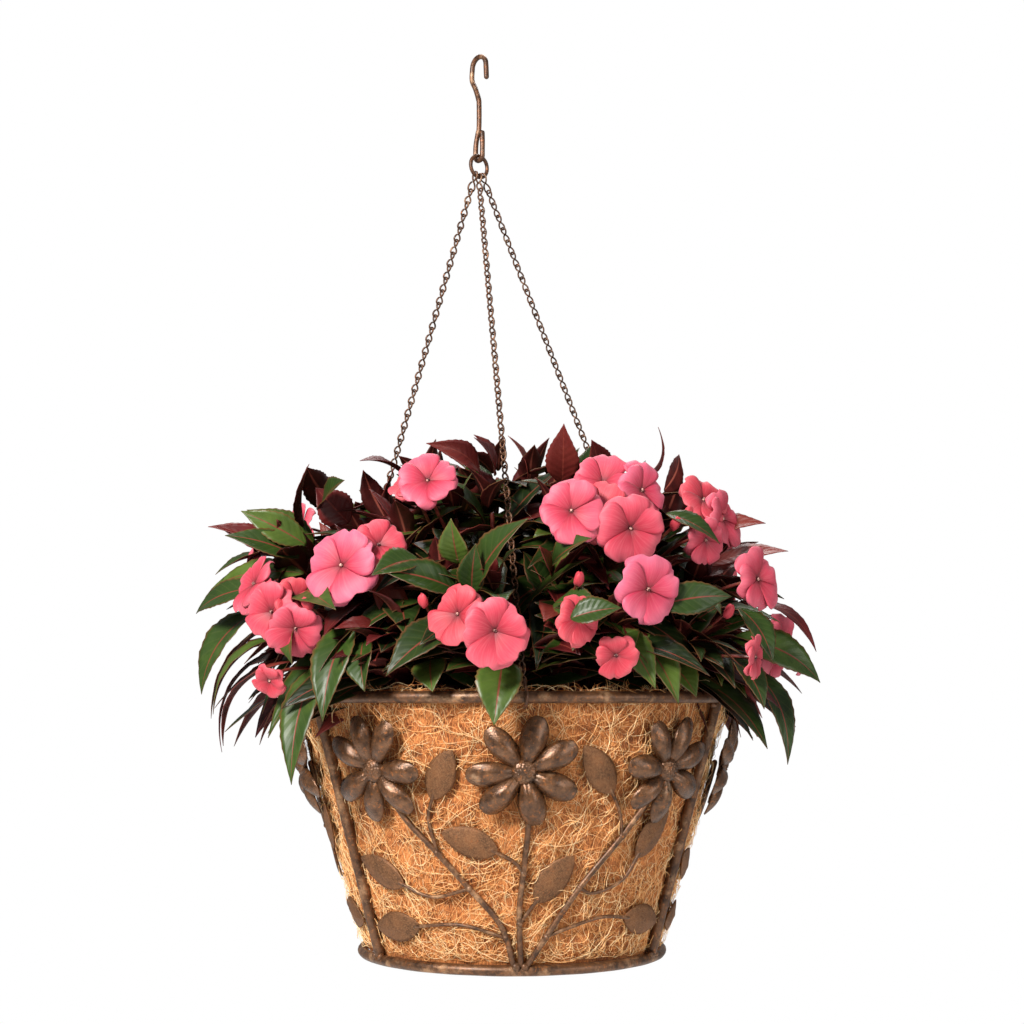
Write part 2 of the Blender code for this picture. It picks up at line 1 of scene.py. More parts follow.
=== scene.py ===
import bpy
import numpy as np
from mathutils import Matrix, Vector


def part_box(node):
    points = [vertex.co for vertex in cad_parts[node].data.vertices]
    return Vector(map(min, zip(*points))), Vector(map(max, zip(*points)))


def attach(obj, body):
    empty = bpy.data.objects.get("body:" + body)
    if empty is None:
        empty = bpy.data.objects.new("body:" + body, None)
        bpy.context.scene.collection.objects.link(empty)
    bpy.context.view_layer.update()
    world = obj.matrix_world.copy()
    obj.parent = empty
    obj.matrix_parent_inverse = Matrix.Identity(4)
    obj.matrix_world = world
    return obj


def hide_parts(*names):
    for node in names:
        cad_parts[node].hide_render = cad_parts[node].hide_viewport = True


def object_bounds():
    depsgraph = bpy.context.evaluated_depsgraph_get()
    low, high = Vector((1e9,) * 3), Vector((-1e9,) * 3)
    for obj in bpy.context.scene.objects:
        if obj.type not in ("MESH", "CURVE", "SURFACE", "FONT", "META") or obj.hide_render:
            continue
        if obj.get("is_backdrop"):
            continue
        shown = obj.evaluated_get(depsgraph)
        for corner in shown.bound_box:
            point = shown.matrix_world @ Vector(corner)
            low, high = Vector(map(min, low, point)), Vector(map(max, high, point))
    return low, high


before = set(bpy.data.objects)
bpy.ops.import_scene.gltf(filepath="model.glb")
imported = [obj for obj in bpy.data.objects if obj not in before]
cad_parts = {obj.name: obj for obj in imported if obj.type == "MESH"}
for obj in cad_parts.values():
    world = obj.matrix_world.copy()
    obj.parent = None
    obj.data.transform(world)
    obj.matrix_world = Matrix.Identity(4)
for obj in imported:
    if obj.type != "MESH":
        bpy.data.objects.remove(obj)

# A hanging basket of planted impatiens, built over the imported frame. Metres, +Z up, front
# towards -Y, and the origin in the bight of its hook. Azimuths are degrees round the
# basket's own axis, 0 at the front and positive to +X.

CAD_BOX = [[float(n) for n in corner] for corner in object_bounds()]

# Camera
# It stands at the rim's height, a little to the left of the front panel, and looks up just
# enough to hold both the hook and the base ring in its frame.

VIEW_DISTANCE = 1.6
VIEW_TURN = np.radians(-3.0)
VIEW_PITCH = np.radians(6.03)
LENS = 61.6
rim_low, rim_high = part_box("top_rim")
AXIS = np.array([(rim_low.x + rim_high.x) / 2, (rim_low.y + rim_high.y) / 2, 0.0])
RIM_Z = (rim_low.z + rim_high.z) / 2
camera = bpy.data.objects.new("camera", bpy.data.cameras.new("camera"))
camera.data.lens = LENS
camera.data.sensor_width = 36.0
camera.location = (
    AXIS[0] + VIEW_DISTANCE * np.sin(VIEW_TURN),
    AXIS[1] - VIEW_DISTANCE * np.cos(VIEW_TURN),
    RIM_Z,
)
camera.rotation_euler = (np.pi / 2 + VIEW_PITCH, 0, VIEW_TURN)
bpy.context.scene.collection.objects.link(camera)
bpy.context.scene.camera = camera

# Studio
# A round pale floor well below the hanging basket, a white surround, a large soft lamp high
# on the left, a weaker one on the right and one overhead.

FLOOR_DROP = 0.30
FLOOR_RADIUS = 1.2
FLOOR_RINGS, FLOOR_SPOKES = 8, 96
SURROUND = 0.27
LAMPS = {  # place from the basket's axis at rim height, width, power, colour
    "key": ((-1.05, -1.55, 0.95), 0.50, 74.0, (1.0, 0.965, 0.92)),
    "fill": ((1.6, -1.6, 0.15), 1.3, 18.0, (1.0, 0.975, 0.94)),
    "top": ((0.15, 0.65, 1.5), 0.9, 16.0, (1.0, 0.99, 0.97)),
}


def lattice(rows, columns, ring=False, loop=False):
    """Quads over a grid of points; ring joins its last column to its first, loop its last row."""
    row, column = np.meshgrid(
        np.arange(rows if loop else rows - 1),
        np.arange(columns if ring else columns - 1),
        indexing="ij",
    )
    below, beside = (row + 1) % rows, (column + 1) % columns
    here, under = row * columns, below * columns
    return np.stack([here + column, here + beside, under + beside, under + column], -1).reshape(-1, 4)


def capped(rows, columns, turned=False):
    """Quads over rows of points that run round a ring, and the fans that close the first and
    the last row on two poles, whose points follow the grid's. turned faces them the other way."""
    i, last, pole = np.arange(columns), (rows - 1) * columns, np.full(columns, rows * columns)
    after = (i + 1) % columns
    fans = np.vstack([np.stack([pole, after, i], -1), np.stack([pole + 1, last + i, last + after], -1)])
    quads = lattice(rows, columns, ring=True)
    return (quads[:, ::-1], fans[:, ::-1]) if turned else (quads, fans)


def mesh_of(name, points, quads, triangles=()):
    """A smooth mesh from whole arrays of points, quads and triangles."""
    quads = np.asarray(quads, int).reshape(-1, 4)
    triangles = np.asarray(triangles, int).reshape(-1, 3)
    mesh = bpy.data.meshes.new(name)
    mesh.vertices.add(len(points))
    mesh.vertices.foreach_set("co", np.asarray(points, np.float32).ravel())
    corners = np.concatenate([quads.ravel(), triangles.ravel()])
    mesh.loops.add(len(corners))
    mesh.loops.foreach_set("vertex_index", corners)
    starts = np.concatenate([4 * np.arange(len(quads)), quads.size + 3 * np.arange(len(triangles))])
    mesh.polygons.add(len(starts))
    mesh.polygons.foreach_set("loop_start", starts)
    mesh.update(calc_edges=True)
    mesh.polygons.foreach_set("use_smooth", np.ones(len(starts), bool))
    return mesh


def node(tree, kind, inputs=None, **settings):
    """A shader node with its settings; each input takes a value or another node's output."""
    made = tree.nodes.new("ShaderNode" + kind)
    for key, value in settings.items():
        setattr(made, key, value)
    for key, value in (inputs or {}).items():
        if isinstance(value, bpy.types.NodeSocket):
            tree.links.new(value, made.inputs[key])
        else:
            made.inputs[key].default_value = value
    return made


def worked(tree, kind, *terms):
    """The result of a Math node of that kind; its terms are numbers or nodes' outputs."""
    return node(tree, "Math", dict(enumerate(terms)), operation=kind).outputs[0]


def object_place(tree):
    return node(tree, "TexCoord").outputs["Object"]


def chart_of(tree, name):
    return node(tree, "UVMap", uv_map=name).outputs[0]


def values_of(tree, name):
    return node(tree, "Attribute", attribute_name=name).outputs["Fac"]


def finish_named(name, metallic=0.0, roughness=0.5, **sockets):
    """A Principled finish: its material, its tree and its shader."""
    paint = bpy.data.materials.new(name)
    paint.use_nodes = True
    shader = paint.node_tree.nodes["Principled BSDF"]
    shader.inputs["Metallic"].default_value = metallic
    shader.inputs["Roughness"].default_value = roughness
    for key, value in sockets.items():
        shader.inputs[key.replace("_", " ")].default_value = value
    return paint, paint.node_tree, shader


def blend_of(tree, share, *stops):
    """Colours blended along a share from 0 to 1, from (place, colour) stops."""
    ramp = node(tree, "ValToRGB", {"Fac": share})
    marks = ramp.color_ramp.elements
    while len(marks) < len(stops):
        marks.new(0.5)
    for mark, (place, colour) in zip(marks, stops):
        mark.position = place
        mark.color = (*colour, 1) if len(colour) == 3 else colour
    return ramp.outputs["Color"]


def grey_of(tree, share, *stops):
    """The same with grey levels, for roughness and relief."""
    return blend_of(tree, share, *[(place, (level,) * 3) for place, level in stops])


def speckle(tree, place, scale, detail=4.0, roughness=0.6, stretch=(1, 1, 1), turn=(0, 0, 0)):
    """Noise on a coordinate, drawn out and turned by a mapping first."""
    moved = node(tree, "Mapping", {"Vector": place, "Scale": stretch, "Rotation": turn})
    inputs = {"Vector": moved.outputs[0], "Scale": scale, "Detail": detail, "Roughness": roughness}
    return node(tree, "TexNoise", inputs).outputs["Fac"]


def mixed(tree, share, first, second, kind="MIX"):
    """Two colours mixed by a share."""
    mix = node(tree, "Mix", data_type="RGBA", blend_type=kind)
    for socket, value in ((mix.inputs[0], share), (mix.inputs[6], first), (mix.inputs[7], second)):
        if isinstance(value, bpy.types.NodeSocket):
            tree.links.new(value, socket)
        else:
            socket.default_value = (*value, 1) if isinstance(value, tuple) else value
    return mix.outputs[2]


def relief(tree, shader, height, depth, strength=1.0):
    """Fine relief on the shader's normal, its depth in metres."""
    bump = node(tree, "Bump", {"Height": height, "Distance": depth, "Strength": strength})
    tree.links.new(bump.outputs["Normal"], shader.inputs["Normal"])


base_low, base_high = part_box("base_ring")
floor_paint, tree, shader = finish_named("floor_paint", roughness=0.85)
place = object_place(tree)
tone = blend_of(tree, speckle(tree, place, 9.0), (0.3, (0.80, 0.80, 0.79)), (0.7, (0.84, 0.84, 0.83)))
tree.links.new(tone, shader.inputs["Base Color"])
spokes, rings = np.meshgrid(
    np.linspace(0, 2 * np.pi, FLOOR_SPOKES, endpoint=False), np.linspace(0.02, FLOOR_RADIUS, FLOOR_RINGS)
)
floor_z = base_low.z - FLOOR_DROP
disc = np.stack([AXIS[0] + rings * np.cos(spokes), rings * np.sin(spokes), np.full_like(rings, floor_z)], -1)
disc = np.vstack([disc.reshape(-1, 3), [AXIS[0], 0, floor_z]])
quads, fans = capped(FLOOR_RINGS, FLOOR_SPOKES, turned=True)
floor = bpy.data.objects.new("floor", mesh_of("floor", disc, quads, fans[:FLOOR_SPOKES]))
floor.data.materials.append(floor_paint)
bpy.context.scene.collection.objects.link(floor)
floor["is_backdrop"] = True

world = bpy.data.worlds.new("surround")
world.use_nodes = True
bpy.context.scene.world = world
tree = world.node_tree
sky, seen = tree.nodes["Background"], node(tree, "Background", {"Strength": 1.0})
sky.inputs["Color"].default_value = seen.inputs["Color"].default_value = (1, 1, 1, 1)
sky.inputs["Strength"].default_value = SURROUND
either = node(tree, "MixShader", {0: node(tree, "LightPath").outputs["Is Camera Ray"]})
tree.links.new(sky.outputs[0], either.inputs[1])
tree.links.new(seen.outputs[0], either.inputs[2])
tree.links.new(either.outputs[0], tree.nodes["World Output"].inputs["Surface"])
for name, (offset, width, power, colour) in LAMPS.items():
    lamp = bpy.data.objects.new(name, bpy.data.lights.new(name, "AREA"))
    lamp.data.shape, lamp.data.size = "DISK", width
    lamp.data.energy, lamp.data.color = power, colour
    lamp.location = Vector(AXIS) + Vector((0, 0, RIM_Z)) + Vector(offset)
    lamp.rotation_euler = (-Vector(offset)).to_track_quat("-Z", "Y").to_euler()
    bpy.context.scene.collection.objects.link(lamp)
bpy.context.scene.view_settings.view_transform = "Standard"

# Rim, base ring and uprights
# Round steel rods bent and welded into the basket's cone, with small beads where they meet,
# in a dark oil-rubbed bronze that has worn to tan and rust along its high places.

RIM_RADIUS, RIM_ROD = 0.198, 0.005
BASE_RADIUS, BASE_ROD = 0.133, 0.0045
UPRIGHT_ROD = 0.0045
PANELS = {"front": 0, "right": 120, "left": 240}
UPRIGHT_TURN = 60
BASE_Z = (base_low.z + base_high.z) / 2
DEPTH = RIM_Z - BASE_Z
TILT = np.arctan2(RIM_RADIUS - BASE_RADIUS, DEPTH)
BASE_BEADS = [  # degrees from the panel's middle, and size
    (-1.6, 0.0036), (1.4, 0.0033), (60 - 1.8, 0.0034), (60 + 1.9, 0.003),
]
UPRIGHT_BEADS = [(-1.1, 0.006, 0.0035), (1.2, 0.0055, 0.0033), (0.2, 0.0078, 0.003)]  # and depth


def around(azimuth):
    """The level unit vector at an azimuth a: (sin a, -cos a, 0)."""
    a = np.radians(np.asarray(azimuth, float))
    return np.stack([np.sin(a), -np.cos(a), np.zeros_like(a)], -1)


def cone_normal(azimuth):
    """Out of the basket's cone: the level direction times cos tilt, less sin tilt of height."""
    return around(azimuth) * np.cos(TILT) - np.array([0, 0, np.sin(TILT)])


def cone_reach(depth):
    return RIM_RADIUS - (RIM_RADIUS - BASE_RADIUS) * depth / DEPTH


def on_cone(azimuth, depth, stand_off=0.0):
    """A point of the cone through rim and base ring, depth below the rim, and stand_off along
    the cone's normal: axis + r(depth) out + stand_off normal, r falling evenly with depth."""
    azimuth, depth, stand_off = np.broadcast_arrays(azimuth, depth, stand_off)
    depth = depth.astype(float)
    level = AXIS + around(azimuth) * cone_reach(depth)[..., None]
    height = np.stack([np.zeros_like(depth), np.zeros_like(depth), RIM_Z - depth], -1)
    return level + height + stand_off[..., None] * cone_normal(azimuth)


NO_FANS = np.empty((0, 3), int)


def unit(vectors):
    return vectors / np.linalg.norm(vectors, axis=-1, keepdims=True)


def through(marks, steps):
    """A smooth path through marks, by cubic Catmull-Rom spans of `steps` points each:
    ((2 b) + (c - a) t + (2a - 5b + 4c - d) t^2 + (3b - a - 3c + d) t^3) / 2."""
    marks = np.asarray(marks, float)
    ends = np.vstack([2 * marks[0] - marks[1], marks, 2 * marks[-1] - marks[-2]])
    a, b, c, d = (ends[i : len(ends) - 3 + i, None] for i in range(4))
    t = np.linspace(0, 1, steps, endpoint=False)[None, :, None]
    spans = 2 * b + (c - a) * t + (2 * a - 5 * b + 4 * c - d) * t**2 + (3 * b - a - 3 * c + d) * t**3
    return np.vstack([(spans / 2).reshape(-1, marks.shape[1]), marks[-1]])


def bars(paths, radius, normal, sides=8, loop=False, domes=(72, 45, 20)):
    """Round bars along paths [bar, point, xyz]. Round each point runs the circle
    centre + radius (n cos a + s sin a), n being `normal` made square to the path and
    s = path x n. An open bar's ends close in quarter-round domes, given by their angles."""
    paths = np.asarray(paths, float)
    count, steps = paths.shape[:2]
    radius = np.broadcast_to(radius, (count, steps)).astype(float)
    along = unit(np.roll(paths, -1, 1) - np.roll(paths, 1, 1) if loop else np.gradient(paths, axis=1))
    normal = np.broadcast_to(normal, paths.shape)
    if not loop:
        a = np.radians(np.asarray(domes, float))[None, :]
        head = paths[:, :1] - along[:, :1] * (radius[:, :1] * np.sin(a))[..., None]
        tail = paths[:, -1:] + along[:, -1:] * (radius[:, -1:] * np.sin(a[:, ::-1]))[..., None]
        out = radius[..., None] * bool(domes)
        tips = paths[:, :1] - along[:, :1] * out[:, :1], paths[:, -1:] + along[:, -1:] * out[:, -1:]
        paths = np.concatenate([head, paths, tail], 1)
        radius = np.concatenate([radius[:, :1] * np.cos(a), radius, radius[:, -1:] * np.cos(a[:, ::-1])], 1)
        along, normal = (
            np.concatenate([v[:, :1].repeat(len(domes), 1), v, v[:, -1:].repeat(len(domes), 1)], 1)
            for v in (along, normal)
        )
    n = unit(normal - along * (normal * along).sum(-1, keepdims=True))
    s = np.cross(along, n)
    turn = 2 * np.pi * np.arange(sides) / sides
    grid = paths[:, :, None] + radius[:, :, None, None] * (
        n[:, :, None] * np.cos(turn)[:, None] + s[:, :, None] * np.sin(turn)[:, None]
    )
    points = grid.reshape(count, -1, 3)
    if loop:
        quads, fans = lattice(grid.shape[1], sides, ring=True, loop=True), NO_FANS
    else:
        quads, fans = capped(grid.shape[1], sides)
        points = np.concatenate([points, *tips], 1)
    each = points.shape[1] * np.arange(count)[:, None, None]
    return points.reshape(-1, 3), (quads + each).reshape(-1, 4), (fans + each).reshape(-1, 3)


def joined(*parts):
    """Several (points, quads, triangles) as one."""
    starts = np.cumsum([0] + [len(part[0]) for part in parts])
    points, quads, fans = zip(*parts)
    quads, fans = (np.concatenate([f + n for f, n in zip(faces, starts)]) for faces in (quads, fans))
    return np.concatenate(points), quads, fans


def waver(share, waves, seed):
    """A slow waver from -1 to 1 along a share: a sum of sines with whole numbers of waves."""
    draw = np.random.default_rng(seed)
    phase, size = draw.uniform(0, 2 * np.pi, len(waves)), draw.uniform(0.5, 1, len(waves))
    return (size * np.sin(2 * np.pi * np.multiply.outer(share, waves) + phase)).sum(-1) / size.sum()


def bead(centre, size, seed=0, steps=(7, 12)):
    """A weld bead: a sphere whose radius wavers by a tenth, in so many rows and columns."""
    rows, columns = steps
    low = np.linspace(0, np.pi, rows)[1:-1, None]
    turn = np.linspace(0, 2 * np.pi, columns, endpoint=False)[None]
    r = size * (1 + 0.1 * np.sin(3 * turn + 2 * low + seed))
    ball = np.stack([r * np.sin(low) * np.cos(turn), r * np.sin(low) * np.sin(turn), r * np.cos(low)], -1)
    ball = np.vstack([ball.reshape(-1, 3), [0, 0, size], [0, 0, -size]])
    return ball + np.asarray(centre, float), *capped(rows - 2, columns, turned=True)


def piece(name, part, paints, body, stands_for=(), maps=None):
    """A finished piece: its mesh in place, its finishes, the body that it rides and the CAD
    nodes that it stands for. maps holds values at each point, by attribute name, or a UV map."""
    mesh = mesh_of(name, *part)
    for paint in paints if isinstance(paints, (list, tuple)) else [paints]:
        mesh.materials.append(paint)
    for key, values in (maps or {}).items():
        values = np.asarray(values, np.float32)
        if values.ndim == 2:
            corner = np.empty(len(mesh.loops), np.int32)
            mesh.loops.foreach_get("vertex_index", corner)
            mesh.uv_layers.new(name=key).data.foreach_set("uv", values[corner].ravel())
        else:
            mesh.attributes.new(key, "FLOAT", "POINT").data.foreach_set("value", values)
    thing = bpy.data.objects.new(name, mesh)
    bpy.context.scene.collection.objects.link(thing)
    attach(thing, body)
    if stands_for:
        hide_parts(*stands_for)
    return thing


def bronze(name, dark, brown, worn, rust, wear, grain, gloss=(0.30, 0.58)):
    """Metal finish: a brown body mottled dark, rubbed to a worn colour and specked with rust;
    gloss is its roughness where shiniest and dullest."""
    paint, tree, shader = finish_named(name, metallic=0.5, roughness=0.42, Coat_Weight=0.18, Coat_Roughness=0.30)
    place = object_place(tree)
    body = blend_of(tree, speckle(tree, place, 130, 5, 0.65), (0.34, dark), (0.66, brown))
    rubbed = grey_of(tree, speckle(tree, place, 60, 6, 0.7), (wear, 0.0), (wear + 0.16, 1.0))
    body = mixed(tree, rubbed, body, worn)
    rusty = grey_of(tree, speckle(tree, place, 330, 4, 0.75), (0.56, 0.0), (0.68, 0.85))
    body = mixed(tree, rusty, body, rust)
    tree.links.new(body, shader.inputs["Base Color"])
    shine = grey_of(tree, speckle(tree, place, 240, 4), (0.3, gloss[0]), (0.75, gloss[1]))
    tree.links.new(shine, shader.inputs["Roughness"])
    relief(tree, shader, speckle(tree, place, grain, 5, 0.65), 0.0006, 0.55)
    return paint


FRAME_BRONZE = bronze(
    "frame_bronze", (0.040, 0.018, 0.008), (0.165, 0.074, 0.032), (0.42, 0.240, 0.125),
    (0.34, 0.115, 0.028), 0.53, 900,
)


def ring_bar(radius, height, rod, steps, sides, seed):
    """A rod closed round the axis: centre line at radius, its own radius wavering by 3 %."""
    share = np.arange(steps) / steps
    azimuth = 360 * share
    line = AXIS + around(azimuth) * radius + np.array([0, 0, height])
    rod = rod * (1 + 0.03 * waver(share, [5, 11, 23], seed))
    return bars([line], rod, around(azimuth), sides, loop=True)


rim = ring_bar(RIM_RADIUS, RIM_Z, RIM_ROD, 240, 14, 1)
piece("rim_rod", rim, FRAME_BRONZE, "basket", ["top_rim"])
base_beads = [
    bead(on_cone(panel + shift, DEPTH - 0.0042, 0.0022), size, panel + (60 if shift > 30 else 0))
    for panel in PANELS.values()
    for shift, size in BASE_BEADS
]
base = joined(ring_bar(BASE_RADIUS, BASE_Z, BASE_ROD, 200, 14, 2), *base_beads)
piece("base_rod", base, FRAME_BRONZE, "basket", ["base_ring"])
for name, azimuth in PANELS.items():
    place_at = azimuth + UPRIGHT_TURN
    share = np.linspace(0, 1, 60)
    run = on_cone(place_at, RIM_ROD * 0.6 + share * (DEPTH - RIM_ROD - BASE_ROD), 0.0)
    radius = UPRIGHT_ROD * (1 + 0.035 * waver(share, [2, 5, 9], 30 + azimuth))
    rod = bars([run], radius, cone_normal(place_at), 14)
    welds = [bead(on_cone(place_at + shift, depth, -0.001), size, shift) for shift, depth, size in UPRIGHT_BEADS]
    piece(f"upright_rod_{name}", joined(rod, *welds), FRAME_BRONZE, "basket", [f"upright_{name}"])

# Base cross
# Flat steel bars under the liner, welded across the base ring, in the same bronze. The CAD's
# own shape is right and stays.

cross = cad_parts["base_cross"]
cross.data.materials.clear()
cross.data.materials.append(FRAME_BRONZE)

# Stamped flowers
# Nine seven-petalled rosettes pressed from thin steel, three to a panel, welded under the rim
# with a cast seed head in the middle of each. The petals are spooned, creased near the middle
# and bent a little by hand, and their raised backs are rubbed bright.

PETALS = 7
PETAL_REACH = 0.0445
PETAL_HALF = 0.0101
PETAL_SHEET = 0.0012
FLOWER_TURN = 40
FLOWER_ROLL = {"left": -14, "middle": 13, "right": 18}
FLOWER_DEPTH = RIM_ROD + 0.008 + PETAL_REACH
FLOWER_STAND_OFF = 0.0040
SEED_RADIUS, SEED_RISE = 0.0105, 0.0078
SEEDS, SEED_ROLL = 46, 37
GOLDEN_ANGLE = 2.39996

PETAL_BRONZE = bronze(
    "petal_bronze", (0.044, 0.020, 0.009), (0.170, 0.078, 0.034), (0.40, 0.245, 0.140),
    (0.38, 0.125, 0.028), 0.60, 700, (0.20, 0.40),
)


def rolled(points, roll):
    """Points (right, up, out) turned clockwise about `out` by a roll in degrees."""
    a = np.radians(roll)
    return points @ np.array([[np.cos(a), -np.sin(a), 0], [np.sin(a), np.cos(a), 0], [0, 0, 1]])


def set_on_cone(points, azimuth, depth, stand_off, roll):
    """Points (right, up, out) set on the cone: turned clockwise by roll, then laid along the
    cone's level tangent, its slope upwards and its normal."""
    points = rolled(points, roll)
    level, normal = around(azimuth + 90), cone_normal(azimuth)
    slope = np.cross(normal, level)
    return on_cone(azimuth, depth, stand_off) + points @ np.stack([level, slope, normal])


def rosette(seed):
    """Seven petals (right, up, out). Along a petal, s runs 0 to 1 and t across it -1 to 1:
    half width = W (.34 + .66 sin^1.5 of s) up to s = .62, closing as a rounded end after it; the
    height is a spoon sin(pi s^.85) (1 - .92 t^2) less a crease exp(-(t / .2)^2) near the middle."""
    draw = np.random.default_rng(seed)
    s = np.concatenate([np.linspace(0, 0.8, 13), 1 - 0.2 * np.array([0.72, 0.47, 0.27, 0.12, 0.03])])[:, None]
    t = np.linspace(-1, 1, 11)[None, :]
    swell = 0.34 + 0.66 * np.sin(np.pi / 2 * np.minimum(s / 0.62, 1)) ** 1.5
    close = np.sqrt(np.clip(1 - (np.maximum(s - 0.62, 0) / 0.385) ** 2.3, 0, 1))
    parts = []
    for number in range(PETALS):
        long, wide, lift = draw.normal(1, [0.025, 0.04, 0.15, 0, 0])[:3]
        lean, bend = draw.normal(0, 3), draw.normal(0, 0.0009)
        half = PETAL_HALF * wide * swell * close
        reach = 0.005 + (1.04 * PETAL_REACH * min(long, 1.01) - 0.005) * s
        across = half * t
        up = reach - 0.0012 * t**2 * np.sin(np.pi * s)
        spoon = 0.0084 * lift * np.sin(np.pi * s**0.85) * (1 - 0.92 * t**2)
        crease = 0.0021 * np.exp(-((t / 0.20) ** 2)) * np.clip(1 - s / 0.75, 0, 1) * np.minimum(s / 0.12, 1)
        sag = (0.0008 + bend) * s**2 * (1 - s * 0.4) - 0.0016 * s**6
        out = 0.0014 + spoon - crease + sag + 0.0004 * (number % 2)
        points = rolled(np.stack([across, up, out + 0 * t], -1), 360 / PETALS * number + lean)
        parts.append((points.reshape(-1, 3), lattice(*points.shape[:2])[:, ::-1], NO_FANS))
    return joined(*parts)


def seed_dome(radius, rise):
    """A dome rise cos^.7 of radius, raised in small knobs exp(-(d / k)^2) round seeds that lie
    on a golden-angle spiral, closed underneath by a flat disc."""
    low, turn = np.linspace(0, 1, 20)[1:, None], np.linspace(0, 2 * np.pi, 54, endpoint=False)[None]
    r = radius * np.sin(low * np.pi / 2)
    flat = np.stack([r * np.cos(turn), r * np.sin(turn)], -1)
    number = np.arange(SEEDS) + 0.5
    spiral = np.stack([np.cos(number * GOLDEN_ANGLE), np.sin(number * GOLDEN_ANGLE)], -1)
    seat = radius * np.sqrt(number / SEEDS)[:, None] * spiral
    gap = np.linalg.norm(flat[:, :, None] - seat, axis=-1).min(-1)
    knob = 0.0013 * np.exp(-((gap / 0.0009) ** 2)) * np.sin(np.minimum(low, 0.96) * np.pi / 0.96) ** 0.3
    height = rise * np.cos(low * np.pi / 2) ** 0.7 + knob * np.cos(low * 1.2)
    grow = 1 + 0.5 * knob / radius * np.sin(low * 1.4)
    points = np.concatenate([flat * grow[..., None], height[..., None]], -1).reshape(-1, 3)
    return np.vstack([points, [0, 0, rise + 0.0006], [0, 0, 0]]), *capped(*gap.shape, turned=True)


def thickened(thing, sheet, under=0):
    """Gives a piece its sheet, inwards from its face; `under` picks the finish of its underside."""
    wall = thing.modifiers.new("sheet", "SOLIDIFY")
    wall.thickness, wall.offset, wall.material_offset = sheet, -1, under


SEED_DOME = seed_dome(SEED_RADIUS, SEED_RISE)
for panel, middle in PANELS.items():
    for number, (side, turn) in enumerate((("left", -1), ("middle", 0), ("right", 1))):
        azimuth = middle + turn * FLOWER_TURN
        seat = (azimuth, FLOWER_DEPTH, FLOWER_STAND_OFF)
        points, *faces = rosette(11 * middle + number)
        flower = piece(
            f"rosette_{panel}_{side}", (set_on_cone(points, *seat, FLOWER_ROLL[side]), *faces),
            PETAL_BRONZE, "basket", [f"flower_{panel}_{side}"],
        )
        thickened(flower, PETAL_SHEET)
        dome, *faces = SEED_DOME
        piece(
            f"seed_dome_{panel}_{side}",
            (set_on_cone(dome + [0, 0, PETAL_SHEET], *seat, SEED_ROLL * number), *faces),
            PETAL_BRONZE, "basket", [f"seed_head_{panel}_{side}"],
        )

# Vines
# Steel wire stems run from each flower down to the base ring, and thinner twigs from them to
# stamped leaves with toothed edges and a fine hatch pressed into their faces.

STEM_WIRE, TWIG_WIRE, TWIG_BEAD = 0.0025, 0.0015, 0.0029
VINE_STAND_OFF = 0.001
LEAF_WIDTH = 0.026
LEAF_SHEET = 0.0011
LEAF_TEETH = 30
VINE_FOOT = DEPTH - BASE_ROD - 0.6 * STEM_WIRE
VINES = {  # marks are (azimuth from the panel's middle, share of the way down to the base ring)
    "left": {
        "marks": [(-40, 0), (-35, 0.23), (-25, 0.43), (-16, 0.61), (-6.5, 0.80), (-2.6, 1)],
        "leaves": [
            {"tip": (-18, -0.10), "base": (-25, 0.155), "twig": [(-26.5, 0.26), (-25, 0.43)]},
            {"tip": (-55.5, 0.48), "base": (-38.5, 0.61), "twig": [(-28.5, 0.66), (-16, 0.61)]},
            {"tip": (-55.5, 0.85), "base": (-35, 0.82), "twig": [(-20, 0.80), (-5.2, 0.86)]},
        ],
    },
    "middle": {
        "marks": [(0, 0), (1.5, 0.24), (0.5, 0.50), (-0.7, 0.73), (0, 1)],
        "leaves": [
            {"tip": (-23, 0.32), "base": (-7, 0.42), "twig": [(-2.4, 0.47), (0.4, 0.53)]},
            {"tip": (15, 0.44), "base": (4.2, 0.68), "twig": [(1.6, 0.74), (-0.6, 0.79)]},
        ],
    },
    "right": {
        "marks": [(40, 0), (39, 0.12), (30, 0.35), (18, 0.61), (8.3, 0.86), (2.6, 1)],
        "leaves": [
            {"tip": (15, -0.12), "base": (25, 0.13), "twig": [(28, 0.23), (30, 0.35)]},
            {"tip": (46.5, 0.22), "base": (37, 0.47), "twig": [(33, 0.58), (23, 0.64), (18, 0.61)]},
            {"tip": (55.5, 0.83), "base": (37, 0.78), "twig": [(27, 0.77), (15, 0.82), (8.3, 0.86)]},
        ],
    },
}

LEAF_BRONZE, tree, shader = finish_named("leaf_bronze", metallic=0.5, roughness=0.55)
place = object_place(tree)
hatch, cross_hatch = (
    speckle(tree, chart_of(tree, "leaf"), 2100, 2, 0.5, stretch, (0, 0, 0.5))
    for stretch in ((1, 0.16, 1), (0.16, 1, 1))
)
weave = worked(tree, "MULTIPLY", worked(tree, "ADD", hatch, cross_hatch), 0.5)
body = blend_of(tree, speckle(tree, place, 75, 5, 0.7), (0.36, (0.075, 0.032, 0.013)), (0.66, (0.190, 0.078, 0.029)))
body = mixed(tree, grey_of(tree, weave, (0.45, 0.0), (0.62, 0.75)), body, (0.300, 0.145, 0.062))
rusty = grey_of(tree, speckle(tree, place, 420, 3, 0.7), (0.6, 0.0), (0.7, 0.7))
body = mixed(tree, rusty, body, (0.30, 0.10, 0.03))
tree.links.new(body, shader.inputs["Base Color"])
relief(tree, shader, weave, 0.0007, 0.8)


def vine_depth(share):
    return FLOWER_DEPTH + np.asarray(share, float) * (VINE_FOOT - FLOWER_DEPTH)


